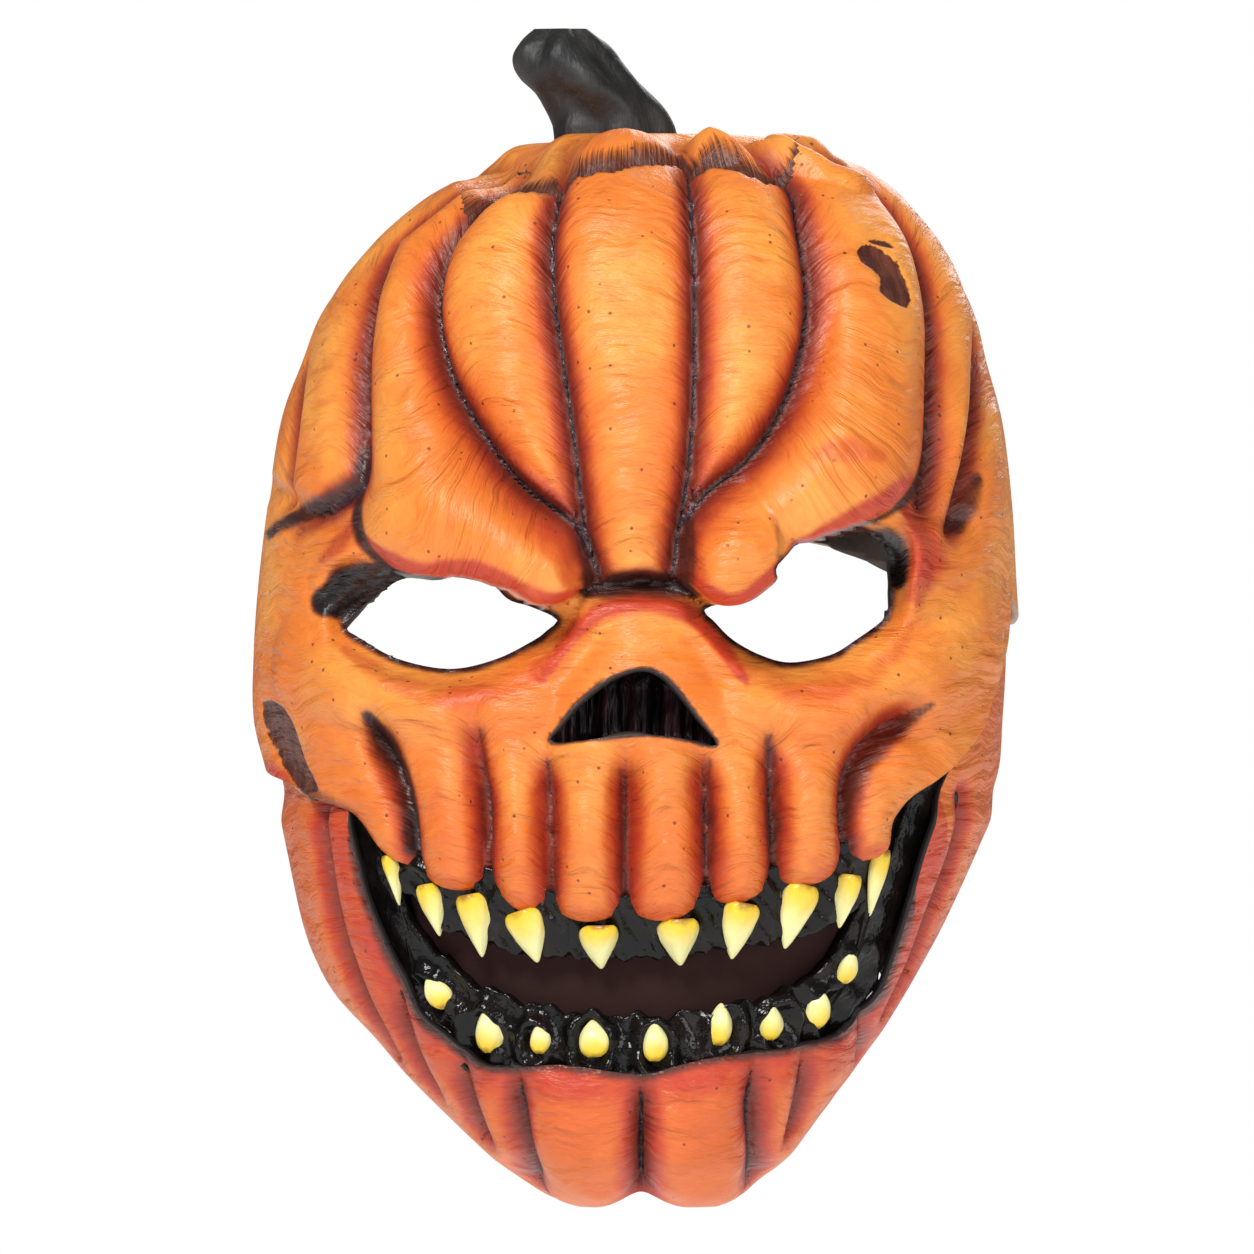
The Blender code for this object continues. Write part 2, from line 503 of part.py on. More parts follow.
def groove_cut(places, grooves):
    """How far the ribs' sides fall in at each place: full at a groove and nothing on top of a rib.

    The second answer is the same as a share, one at the groove, with narrower sides.
    """
    cut = np.zeros(len(places))
    close = np.zeros(len(places))
    for _, spread, back, points in grooves:
        fine = refine(points)
        path = seen_point(fine[:, 0], fine[:, 1], back)
        gap, found = nearest_on_path(places, path, fine[:, 2:3])
        share = np.clip(gap / spread, 0, 1)
        cut = np.maximum(cut, found[:, 0] * (1 - share) ** 2)
        near = soft_step(1 - gap / RIDGE_CLEAR) * np.clip(found[:, 0] / RIDGE_CLEAR_DEPTH, 0, 1)
        close = np.maximum(close, near)
    return cut, close


def ridge_rise(places, ridges):
    rise = np.zeros(len(places))
    for _, points in ridges:
        fine = refine(points)
        path = seen_point(fine[:, 0], fine[:, 1])
        gap, found = nearest_on_path(places, path, fine[:, 2:4])
        share = np.clip(gap / found[:, 0], 0, 1)
        rise = np.maximum(rise, found[:, 1] * (1 - share ** 2) ** 0.8)
    return rise


def inside_outline(x, z, outline):
    """Signed distance to a closed outline seen from the front, positive inside it."""
    ring = np.array(outline, float)
    nearest = np.full(x.shape, 1e9)
    inside = np.zeros(x.shape, bool)
    for (x0, z0), (x1, z1) in zip(ring, np.roll(ring, -1, axis=0)):
        along_x, along_z = x1 - x0, z1 - z0
        share = np.clip(((x - x0) * along_x + (z - z0) * along_z) / (along_x ** 2 + along_z ** 2), 0, 1)
        nearest = np.minimum(nearest, np.hypot(x - x0 - share * along_x, z - z0 - share * along_z))
        crosses = (z0 > z) != (z1 > z)
        slope = (x1 - x0) / (z1 - z0) if z1 != z0 else 0.0
        inside ^= crosses & (x < x0 + (z - z0) * slope)
    return np.where(inside, nearest, -nearest)


def soft_step(value):
    value = np.clip(value, 0, 1)
    return value * value * (3 - 2 * value)


def face_shape(places):
    """Height of the face's skin over the smooth head at each place."""
    x, y, z = places.T
    front = soft_step((SIDE_FADE - y) / (2 * SIDE_FADE))
    cut, close = groove_cut(places, FACE_GROOVES)
    rise = ridge_rise(places, FACE_RIDGES) * front * (1 - close)
    socket = np.zeros(len(places))
    for outline in (LEFT_EYE, RIGHT_EYE):
        socket = np.maximum(socket, soft_step(1 + inside_outline(x, z, outline) / SOCKET_SLOPE))
    seam = np.interp(x, [p[0] for p in LID_SEAM], [p[1] for p in LID_SEAM])
    lid = LID_STEP * soft_step((z - seam) / LID_SLOPE) * soft_step((LID_HALF_WIDTH - np.abs(x)) / LID_FADE) * front
    return rise - cut - socket * (SOCKET_DEPTH + rise) * front - lid


def outward(grid, closed):
    """Outward directions of a grid of places, rows by columns."""
    down = np.gradient(grid, axis=0)
    if closed:
        around = (np.roll(grid, -1, axis=1) - np.roll(grid, 1, axis=1)) / 2
    else:
        around = np.gradient(grid, axis=1)
    direction = np.cross(around, down)
    direction /= np.maximum(np.linalg.norm(direction, axis=2, keepdims=True), 1e-9)
    flip = np.sign(np.sum(direction * (grid - np.array([0, 0, -HEIGHT / 2])), axis=2, keepdims=True))
    return direction * np.where(flip == 0, 1, flip)


def mesh_object(name, places, faces, group, paint):
    mesh = bpy.data.meshes.new(name)
    mesh.from_pydata([tuple(float(v) * MM for v in p) for p in places], [], faces)
    mesh.validate()
    made = bpy.data.objects.new(name, mesh)
    group.objects.link(made)
    if paint is not None:
        mesh.materials.append(paint)
    return made


def face_outwards(made):
    shape = bmesh.new()
    shape.from_mesh(made.data)
    bmesh.ops.recalc_face_normals(shape, faces=shape.faces)
    if shape.calc_volume(signed=True) < 0:
        bmesh.ops.reverse_faces(shape, faces=shape.faces)
    shape.to_mesh(made.data)
    shape.free()


def apply_all(made):
    graph = bpy.context.evaluated_depsgraph_get()
    mesh = bpy.data.meshes.new_from_object(made.evaluated_get(graph))
    made.modifiers.clear()
    made.data = mesh


def prism(name, outline, group):
    """Straight cutter through the front wall with this outline seen from the front."""
    count = len(outline)
    start, end = -FRONT_REACH - CUT_REACH, -FRONT_REACH / 4
    places = [(x, start, z) for x, z in outline] + [(x, end, z) for x, z in outline]
    faces = [tuple(range(count)), tuple(range(2 * count - 1, count - 1, -1))]
    faces += [(k, k + count, (k + 1) % count + count, (k + 1) % count) for k in range(count)]
    made = mesh_object(name, places, faces, group, None)
    face_outwards(made)
    made.hide_render = True
    made.display_type = "WIRE"
    return made


def grid_faces(rows, columns, closed, first=0):
    faces = []
    for r in range(rows - 1):
        for c in range(columns if closed else columns - 1):
            after = (c + 1) % columns
            faces.append((first + r * columns + c, first + (r + 1) * columns + c,
                          first + (r + 1) * columns + after, first + r * columns + after))
    return faces


def solidify(made):
    wall = made.modifiers.new("wall", "SOLIDIFY")
    wall.thickness = WALL * MM
    wall.offset = -1.0
    wall.use_rim = True


def face_columns():
    """Azimuths round the head, evenly spaced across the front and wider round the back."""
    front = np.linspace(-90, 90, FACE_COLUMNS_FRONT + 1)
    step = 180 / FACE_COLUMNS_BACK
    back = np.arange(1, FACE_COLUMNS_BACK) * step + 90
    return np.concatenate([front, np.where(back > 180, back - 360, back)])


def rows_between(top, foot, count, crowd=None):
    """Row numbers between two heights, evenly spaced along the head's profile."""
    start, end = np.interp(row_at_height(top), DENSE, LENGTHS), np.interp(row_at_height(foot), DENSE, LENGTHS)
    share = np.linspace(0, 1, count) if crowd is None else crowd
    return np.interp(start + (end - start) * share, LENGTHS, DENSE)


def build_face(group, cutters):
    edge = edge_heights(LIP_EDGE, BACK_EDGE_LEFT, BACK_EDGE_RIGHT)
    edge = np.vstack([(-180.0, BACK_EDGE_MIDDLE), edge, (180.0, BACK_EDGE_MIDDLE)])
    azimuths = face_columns()
    share = np.linspace(0, 1, FACE_ROWS)
    share = share + 0.035 * np.sin(2 * np.pi * share)
    columns = [head_point(np.full(FACE_ROWS, a), rows_between(SECTIONS[0][0], height_at(edge, a), FACE_ROWS, share))
               for a in azimuths]
    grid = np.stack(columns, axis=1)
    rows, count = grid.shape[:2]
    raised = face_shape(grid.reshape(-1, 3)).reshape(rows, count, 1)
    grid = grid + outward(grid, True) * raised
    grid[0, :, 2] = np.maximum(grid[0, :, 2], CROWN - SEAT_GAP)
    places = list(grid.reshape(-1, 3)) + [np.array([STEM_X, 0.0, CROWN])]
    faces = grid_faces(rows, count, True)
    faces += [(rows * count, c, (c + 1) % count) for c in range(count)]
    made = mesh_object("face_shell", places, faces, group, material("face_latex", COLOURS["face"]))
    shape = bmesh.new()
    shape.from_mesh(made.data)
    bmesh.ops.recalc_face_normals(shape, faces=shape.faces)
    top = max(shape.faces, key=lambda f: f.calc_center_median().z)
    if top.normal.z < 0:
        bmesh.ops.reverse_faces(shape, faces=shape.faces)
    shape.to_mesh(made.data)
    shape.free()
    solidify(made)
    for name, outline in (("cut_left_eye", LEFT_EYE), ("cut_right_eye", RIGHT_EYE), ("cut_nose", NOSE_HOLE)):
        cut = made.modifiers.new(name, "BOOLEAN")
        cut.operation = "DIFFERENCE"
        cut.solver = "EXACT"
        cut.object = prism(name, outline, cutters)
    return made


def jaw_inset(places):
    """How far the jaw's skin lies inside the smooth head."""
    z = places[:, 2]
    overlap = soft_step((z - JAW_TUCK_FOOT) / JAW_TUCK_FADE)
    return JAW_INSET + (WALL + SEAT_GAP + JAW_TUCK_SLACK - JAW_INSET) * overlap


def build_jaw(group):
    top = edge_heights(JAW_EDGE, JAW_TOP_LEFT, JAW_TOP_RIGHT)
    azimuths = np.linspace(-JAW_REAR, JAW_REAR, JAW_COLUMNS)
    columns = [head_point(np.full(JAW_ROWS, a), rows_between(height_at(top, a), JAW_FOOT, JAW_ROWS)) for a in azimuths]
    grid = np.stack(columns, axis=1)
    flat = grid.reshape(-1, 3)
    raised = -jaw_inset(flat) - groove_cut(flat, JAW_GROOVES)[0]
    grid = grid + outward(grid, False) * raised.reshape(JAW_ROWS, JAW_COLUMNS, 1)
    made = mesh_object("jaw_shell", grid.reshape(-1, 3), grid_faces(JAW_ROWS, JAW_COLUMNS, False), group,
                       material("jaw_latex", COLOURS["jaw"]))
    shape = bmesh.new()
    shape.from_mesh(made.data)
    bmesh.ops.recalc_face_normals(shape, faces=shape.faces)
    front = min(shape.faces, key=lambda f: f.calc_center_median().y)
    if front.normal.y > 0:
        bmesh.ops.reverse_faces(shape, faces=shape.faces)
    shape.to_mesh(made.data)
    shape.free()
    solidify(made)
    return made


def band(name, top, foot, limits, depth, thick, columns, rows, group, paint, bulge=0.0):
    """Curved strip that follows the head at a depth, between two edges seen from the front."""
    azimuths = np.linspace(limits[0], limits[1], columns)
    front, back = [], []
    for r in range(rows):
        share = r / (rows - 1)
        z = height_at(top, azimuths) * (1 - share) + height_at(foot, azimuths) * share
        swell = bulge * math.sin(math.pi * share)
        front.append(head_point(azimuths, row_at_height(z), depth - swell))
        back.append(head_point(azimuths, row_at_height(z), depth + thick))
    places = np.concatenate([np.array(front).reshape(-1, 3), np.array(back).reshape(-1, 3)])
    half = rows * columns
    faces = grid_faces(rows, columns, False)
    faces += [tuple(v + half for v in reversed(f)) for f in grid_faces(rows, columns, False)]
    ring = ([(0, c) for c in range(columns)] + [(r, columns - 1) for r in range(1, rows)]
            + [(rows - 1, c) for c in range(columns - 2, -1, -1)] + [(r, 0) for r in range(rows - 2, 0, -1)])
    loop = [r * columns + c for r, c in ring]
    faces += [(a, b, b + half, a + half) for a, b in zip(loop, loop[1:] + loop[:1])]
    made = mesh_object(name, places, faces, group, paint)
    face_outwards(made)
    return made


def build_gums(group):
    lip = edge_heights(LIP_EDGE)
    upper_top = lip + np.array([0.0, UPPER_GUM_RISE])
    ends = [float(azimuth_of(x, z)) for x, z in UPPER_GUM_ENDS]
    foot = edge_heights(UPPER_GUM_FOOT)
    band("upper_gum", upper_top, foot, ends, GUM_DEPTH, GUM_THICK, 27, 3, group,
         material("upper_gum_paint", COLOURS["gum"], 0.3))
    top = edge_heights(LOWER_GUM_TOP)
    orange = edge_heights(JAW_EDGE) - np.array([0.0, LOWER_GUM_TUCK])
    ends = [float(azimuth_of(x, z)) for x, z in LOWER_GUM_ENDS]
    band("lower_gum", top, orange, ends, LOWER_GUM_DEPTH, GUM_THICK, 31, 3, group,
         material("lower_gum_paint", COLOURS["gum"], 0.3))


def build_linings(group):
    ends = [float(azimuth_of(x, z)) for x, z in LINING_ENDS]
    band("mouth_lining", edge_heights(LINING_TOP), edge_heights(LINING_FOOT), ends, LINING_DEPTH, LINING_THICK,
         19, 3, group, material("mouth_lining_cloth", COLOURS["mouth_cloth"], 0.9))


def build_nose_lining(group):
    """Dished skin behind the nose hole; its rim follows the inside of the face."""
    x0, x1, z0, z1 = NOSE_LINING_BOX
    across, down = 9, 6
    xs, zs = np.linspace(x0, x1, across), np.linspace(z1, z0, down)
    grid_x, grid_z = np.meshgrid(xs, zs)
    base = seen_point(grid_x.ravel(), grid_z.ravel())
    around = [seen_point(grid_x.ravel() + step_x, grid_z.ravel() + step_z)
              for step_x in NOSE_LINING_REACH for step_z in NOSE_LINING_REACH]
    raised = np.min([face_shape(near) for near in around], axis=0)
    share_x = np.minimum((grid_x - x0), (x1 - grid_x)).ravel() / NOSE_LINING_FADE_X
    share_z = np.minimum((grid_z - z0), (z1 - grid_z)).ravel() / NOSE_LINING_FADE_Z
    dip = NOSE_LINING_DIP * soft_step(np.minimum(share_x, share_z))
    front = base.copy()
    front[:, 1] = base[:, 1] - raised + WALL * 1.35 - SEAT_GAP + dip
    back = front + np.array([0.0, NOSE_LINING_THICK, 0.0])
    places = np.concatenate([front, back])
    half = across * down
    faces = grid_faces(down, across, False)
    faces += [tuple(v + half for v in reversed(f)) for f in grid_faces(down, across, False)]
    ring = ([(0, c) for c in range(across)] + [(r, across - 1) for r in range(1, down)]
            + [(down - 1, c) for c in range(across - 2, -1, -1)] + [(r, 0) for r in range(down - 2, 0, -1)])
    loop = [r * across + c for r, c in ring]
    faces += [(a, b, b + half, a + half) for a, b in zip(loop, loop[1:] + loop[:1])]
    made = mesh_object("nose_lining", places, faces, group, material("nose_lining_skin", COLOURS["nose_skin"], 0.5))
    face_outwards(made)


def build_tooth(name, row, depth, profile, group, paint):
    """Tooth with a flat back against the gum: rings from root to tip, half round to the front."""
    root_x, root_z, tip_x, tip_z, width, thick = row
    places = []
    for share, wide, deep in profile:
        x = root_x + (tip_x - root_x) * share
        z = root_z + (tip_z - root_z) * share
        centre = seen_point(x, z, inside=depth)
        side = seen_point(x + 1.0, z, inside=depth) - seen_point(x - 1.0, z, inside=depth)
        side[2] = 0.0
        side /= np.linalg.norm(side)
        out = np.cross(side, np.array([0.0, 0.0, 1.0]))
        if out[1] > 0:
            out = -out
        lean = np.array([tip_x - root_x, 0.0, tip_z - root_z])
        lean /= np.linalg.norm(lean)
        level = np.cross(lean, out)
        level /= np.linalg.norm(level)
        for k in range(TOOTH_SIDES):
            angle = math.pi * k / (TOOTH_SIDES - 1)
            places.append(centre + level * (math.cos(angle) * width / 2 * wide) + out * (math.sin(angle) * thick * deep))
    rings = len(profile)
    faces = grid_faces(rings, TOOTH_SIDES, True)
    faces.append(tuple(range(TOOTH_SIDES)))
    faces.append(tuple(range((rings - 1) * TOOTH_SIDES, rings * TOOTH_SIDES)))
    made = mesh_object(name, places, faces, group, paint)
    face_outwards(made)
    return made


def build_teeth(group):
    for number, row in enumerate(UPPER_TEETH, 1):
        name = "upper_tooth_%d" % number
        build_tooth(name, row, GUM_DEPTH - TOOTH_GAP, TOOTH_PROFILE, group, material(name + "_paint", COLOURS["tooth"], 0.4))
    for number, row in enumerate(LOWER_TEETH, 1):
        name = "lower_tooth_%d" % number
        clear = CORNER_TOOTH_GAP if number in CORNER_TEETH else TOOTH_GAP
        build_tooth(name, row, LOWER_GUM_DEPTH - clear, LOWER_TOOTH_PROFILE, group,
                    material(name + "_paint", COLOURS["tooth"], 0.4))


def build_stem(group):
    places = []
    foot = CROWN + STEM_GAP
    for up, across, along, wide, deep in STEM_RINGS:
        x, y, z = STEM_X + across * STEM_HALF_WIDTH, STEM_Y + along * STEM_HALF_DEPTH, foot + up * STEM_HEIGHT
        for k in range(STEM_SIDES):
            angle = 2 * math.pi * k / STEM_SIDES
            flute = STEM_FLUTE_DEPTH * (0.5 - 0.5 * math.cos(STEM_FLUTES * angle + STEM_TWIST * z))
            places.append((x + (wide * STEM_HALF_WIDTH - flute) * math.cos(angle),
                           y + (deep * STEM_HALF_DEPTH - flute) * math.sin(angle), z))
    rings = len(STEM_RINGS)
    faces = grid_faces(rings, STEM_SIDES, True)
    faces.append(tuple(range(STEM_SIDES)))
    faces.append(tuple(range((rings - 1) * STEM_SIDES, rings * STEM_SIDES)))
    made = mesh_object("stem", places, faces, group, material("stem_paint", COLOURS["stem"], 0.7))
    face_outwards(made)


def main():
    start_empty()
    group = collection("pumpkin_mask")
    cutters = collection("cutters", hidden=True)
    face = build_face(group, cutters)
    jaw = build_jaw(group)
    build_gums(group)
    build_linings(group)
    build_nose_lining(group)
    build_teeth(group)
    build_stem(group)
    bpy.context.view_layer.update()
    for made in (face, jaw):
        apply_all(made)
        merged = bmesh.new()
        merged.from_mesh(made.data)
        bmesh.ops.remove_doubles(merged, verts=merged.verts, dist=0.00005)
        bmesh.ops.triangulate(merged, faces=merged.faces)
        merged.to_mesh(made.data)
        merged.free()


main()
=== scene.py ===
"""Looks of the pumpkin mask: painted latex skins, gums, teeth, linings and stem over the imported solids.

The face looks along -Y, +X is the photo's right and +Z is up. Tables are in millimetres, as in the solids.
"""

import json
import math

import bmesh
import bpy
import numpy as np
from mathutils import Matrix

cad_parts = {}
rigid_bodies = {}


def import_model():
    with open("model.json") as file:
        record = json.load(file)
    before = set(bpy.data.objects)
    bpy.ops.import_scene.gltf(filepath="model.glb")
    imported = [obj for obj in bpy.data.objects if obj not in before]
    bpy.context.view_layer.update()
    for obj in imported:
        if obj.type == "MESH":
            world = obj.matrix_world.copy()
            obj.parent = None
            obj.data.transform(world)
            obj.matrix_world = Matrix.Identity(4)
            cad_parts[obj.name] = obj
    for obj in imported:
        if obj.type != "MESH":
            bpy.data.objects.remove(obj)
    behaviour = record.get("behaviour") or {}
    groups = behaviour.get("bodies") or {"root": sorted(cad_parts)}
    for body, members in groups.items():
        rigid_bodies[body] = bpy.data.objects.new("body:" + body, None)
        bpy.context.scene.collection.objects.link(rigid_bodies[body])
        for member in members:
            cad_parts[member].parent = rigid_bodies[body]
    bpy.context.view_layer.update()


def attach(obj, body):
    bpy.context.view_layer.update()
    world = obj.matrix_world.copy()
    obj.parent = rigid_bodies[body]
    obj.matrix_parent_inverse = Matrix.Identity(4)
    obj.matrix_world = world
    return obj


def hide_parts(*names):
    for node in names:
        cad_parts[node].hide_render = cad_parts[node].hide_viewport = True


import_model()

MM = 0.001

# Main sizes
HALF_WIDTH = 120.5    # half the width of the head
HEIGHT = 337.0        # from the top of the crown to the foot of the chin
FRONT_REACH = 113.0   # from the crown's middle to the front of the lip
BACK_REACH = 84.0     # from the crown's middle to the back of the hood
FULLNESS = 2.3        # how square a level cut through the head is: 2 is an ellipse

# Walls and clearances
WALL = 2.5
SEAT_GAP = 0.4        # clearance between two pieces that touch
CROWN = WALL          # the seat is the crown's inside, so its outside is one wall higher
JAW_INSET = 1.2       # the jaw's skin lies this far inside the head's smooth outside
JAW_TUCK_SLACK = 1.5
TOOTH_GAP = 0.7       # clearance between a tooth's flat back and the curved gum
CORNER_TOOTH_GAP = 1.3
CORNER_TEETH = (1, 9)  # lower teeth that stand where the gum curves most

# Relief
RIB_DEPTH = 10.0
RIB_SPREAD = 20.0     # how far each side of a groove falls in
JAW_RIB_DEPTH = 7.0
JAW_RIB_SPREAD = 17.0
EDGE_RIB_SHARE = 0.3  # how much of a rib's depth is left at the lip's edge
RELIEF_HEIGHT = 13.0  # a brow this high hangs down by its full share
RIDGE_CLEAR_DEPTH = 6.0  # a groove this deep stops a raised roll in full
SOCKET_DEPTH = 11.0   # how deep the skin falls in round each eye hole
SOCKET_SLOPE = 8.0    # and how wide that slope is
LID_FADE = 8.0
SIDE_FADE = 10.0      # front relief fades out this far round the side

# Gums, teeth and linings
GUM_THICK = 4.5
GUM_DEPTH = WALL + EDGE_RIB_SHARE * RIB_DEPTH + 2 * SEAT_GAP
LOWER_GUM_SLACK = 2.5
LOWER_GUM_DEPTH = JAW_INSET + WALL + LOWER_GUM_SLACK
LINING_DEPTH = GUM_DEPTH + GUM_THICK + 2 * SEAT_GAP
LINING_THICK = 1.5
UPPER_GUM_RISE = 7.0  # how far the upper gum runs up behind the lip
LOWER_GUM_TUCK = 3.5  # how far the lower gum runs down behind the jaw's edge
TOOTH_WIDTH = 13.0
TOOTH_THICK = 5.0
NOSE_LINING_DIP = 9.0
NOSE_LINING_THICK = 1.6
NOSE_LINING_FADE_X, NOSE_LINING_FADE_Z = 12.0, 10.0

# Stem
STEM_GAP = 0.7        # above the crown
STEM_HEIGHT = 34.8
STEM_X, STEM_Y = -5.3, -1.0
STEM_HALF_WIDTH = 21.5
STEM_HALF_DEPTH = 19.0


def seen(points):
    """Places seen from the front, from shares of the half width and of the height down from the crown."""
    return [(across * HALF_WIDTH, CROWN - down * HEIGHT) for across, down in points]


def round_the_head(points):
    """Azimuths in degrees, 0 at the front and 90 on the right, with heights from shares of the height."""
    return [(azimuth, CROWN - down * HEIGHT) for azimuth, down in points]


def grooves(depth, spread, table):
    return [(name, share * spread, back,
             [(across * HALF_WIDTH, CROWN - down * HEIGHT, deep * depth) for across, down, deep in points])
            for name, share, back, points in table]


def teeth(table):
    return [(root_x * HALF_WIDTH, CROWN - root_z * HEIGHT, tip_x * HALF_WIDTH, CROWN - tip_z * HEIGHT,
             wide * TOOTH_WIDTH, thick * TOOTH_THICK) for root_x, root_z, tip_x, tip_z, wide, thick in table]


# One row per level of the head's outside, as shares: how far down, half width left and right, reach to the
# front and to the back, and where the widest place lies along Y.
SECTION_SHARES = [
    # down,  left,  right, front, back,  middle
    (0.0, 0.218, 0.130, 0.177, 0.238, 0.0),
    (0.003, 0.315, 0.349, 0.354, 0.429, 0.0),
    (0.018, 0.382, 0.564, 0.531, 0.619, 0.0),
    (0.037, 0.465, 0.660, 0.655, 0.738, 0.0),
    (0.058, 0.560, 0.726, 0.735, 0.821, 0.0),
    (0.096, 0.680, 0.813, 0.823, 0.917, 0.0),
    (0.150, 0.801, 0.892, 0.885, 0.976, 0.0),
    (0.206, 0.867, 0.929, 0.920, 1.000, 0.0),
    (0.263, 0.921, 0.971, 0.947, 1.000, 0.0),
    (0.337, 0.954, 0.996, 0.965, 0.976, 0.0),
    (0.411, 0.979, 1.008, 0.956, 0.952, 0.0),
    (0.476, 0.992, 1.017, 0.956, 0.917, 0.0),
    (0.542, 0.992, 1.008, 0.982, 0.869, -0.018),
    (0.598, 0.954, 0.992, 1.000, 0.786, -0.044),
    (0.660, 0.917, 0.921, 1.000, 0.655, -0.071),
    (0.728, 0.876, 0.834, 0.956, 0.536, -0.106),
    (0.767, 0.838, 0.776, 0.920, 0.476, -0.142),
    (0.803, 0.780, 0.718, 0.912, 0.429, -0.177),
    (0.841, 0.680, 0.651, 0.920, 0.381, -0.230),
    (0.877, 0.593, 0.585, 0.929, 0.357, -0.265),
    (0.912, 0.494, 0.502, 0.920, 0.310, -0.301),
    (0.951, 0.378, 0.419, 0.876, 0.262, -0.354),
    (0.972, 0.303, 0.353, 0.814, 0.214, -0.389),
    (0.990, 0.228, 0.295, 0.726, 0.167, -0.425),
    (1.000, 0.124, 0.207, 0.602, 0.119, -0.460),
]
SECTIONS = [(CROWN - down * HEIGHT, left * HALF_WIDTH, right * HALF_WIDTH, front * FRONT_REACH, back * BACK_REACH,
             middle * FRONT_REACH) for down, left, right, front, back, middle in SECTION_SHARES]

# Lower edge of the face seen from the front: x, z from the left cheek to the right cheek.
LIP_EDGE = seen([
    (-0.925, 0.5979), (-0.851, 0.6113), (-0.747, 0.6276), (-0.668, 0.6632), (-0.589, 0.6825),
    (-0.456, 0.6958), (-0.365, 0.7003), (-0.286, 0.7151), (-0.183, 0.7226), (-0.037, 0.7240),
    (0.095, 0.7226), (0.187, 0.7151), (0.369, 0.6988), (0.539, 0.6840), (0.672, 0.6677), (0.697, 0.6350),
    (0.763, 0.6068), (0.842, 0.5831), (0.913, 0.5519), (0.942, 0.5237),
])
# The rest of that edge round the back: azimuth in degrees (0 front, 90 right, -90 left), z.
BACK_EDGE_RIGHT = round_the_head([
    (74, 0.470), (78, 0.429), (86, 0.441), (100, 0.453), (115, 0.453), (131, 0.426), (148, 0.384),
    (165, 0.364),
])
BACK_EDGE_LEFT = round_the_head([
    (-88, 0.589), (-95, 0.565), (-105, 0.518), (-117, 0.470), (-131, 0.426), (-148, 0.384), (-165, 0.364),
])
BACK_EDGE_MIDDLE = CROWN - 0.358 * HEIGHT

# Upper edge of the jaw's orange skin seen from the front: x, z.
JAW_EDGE = seen([
    (-0.755, 0.6246), (-0.730, 0.6632), (-0.697, 0.7092), (-0.643, 0.7552), (-0.602, 0.7878),
    (-0.564, 0.8160), (-0.498, 0.8353), (-0.423, 0.8576), (-0.344, 0.8650), (-0.187, 0.8605),
    (0.021, 0.8694), (0.124, 0.8605), (0.228, 0.8531), (0.411, 0.8472), (0.515, 0.8398), (0.593, 0.8234),
    (0.656, 0.7967), (0.701, 0.7522), (0.739, 0.7077), (0.772, 0.6662), (0.817, 0.6217), (0.863, 0.5831),
])
JAW_TOP_LEFT = round_the_head([
    (-60, 0.559), (-66, 0.530), (-74, 0.515), (-98, 0.515),
])
JAW_TOP_RIGHT = round_the_head([
    (62, 0.518), (66, 0.458), (72, 0.411), (80, 0.393), (98, 0.393),
])
JAW_FOOT = CROWN - 0.9985 * HEIGHT
JAW_TUCK_FOOT = CROWN - 0.6425 * HEIGHT  # below this the jaw's arms are clear of the cheeks
JAW_TUCK_FADE = 12.0

# Opening of the mouth seen from the front: its upper edge is the foot of the upper gum, its lower edge the top
# of the lower gum: x, z.
UPPER_GUM_FOOT = seen([
    (-0.680, 0.6766), (-0.631, 0.6973), (-0.515, 0.7359), (-0.340, 0.7552), (-0.187, 0.7611),
    (0.021, 0.7626), (0.174, 0.7567), (0.332, 0.7507), (0.515, 0.7374), (0.631, 0.7166), (0.697, 0.6825),
])
LOWER_GUM_TOP = seen([
    (-0.730, 0.6869), (-0.680, 0.6988), (-0.631, 0.7226), (-0.548, 0.7567), (-0.456, 0.7834),
    (-0.340, 0.7997), (-0.207, 0.8101), (-0.100, 0.8131), (0.095, 0.8160), (0.241, 0.8086),
    (0.423, 0.7953), (0.556, 0.7671), (0.631, 0.7418), (0.680, 0.7166), (0.730, 0.6929),
])
LINING_TOP = seen([
    (-0.697, 0.654), (-0.498, 0.696), (0.0, 0.720), (0.498, 0.696), (0.697, 0.648),
])
LINING_FOOT = seen([
    (-0.697, 0.720), (-0.564, 0.791), (-0.332, 0.838), (0.0, 0.847), (0.332, 0.838), (0.564, 0.791),
    (0.697, 0.720),
])
UPPER_GUM_ENDS = seen([(-0.660, 0.6721), (0.680, 0.6721)])
LINING_ENDS = seen([(-0.680, 0.684), (0.680, 0.684)])

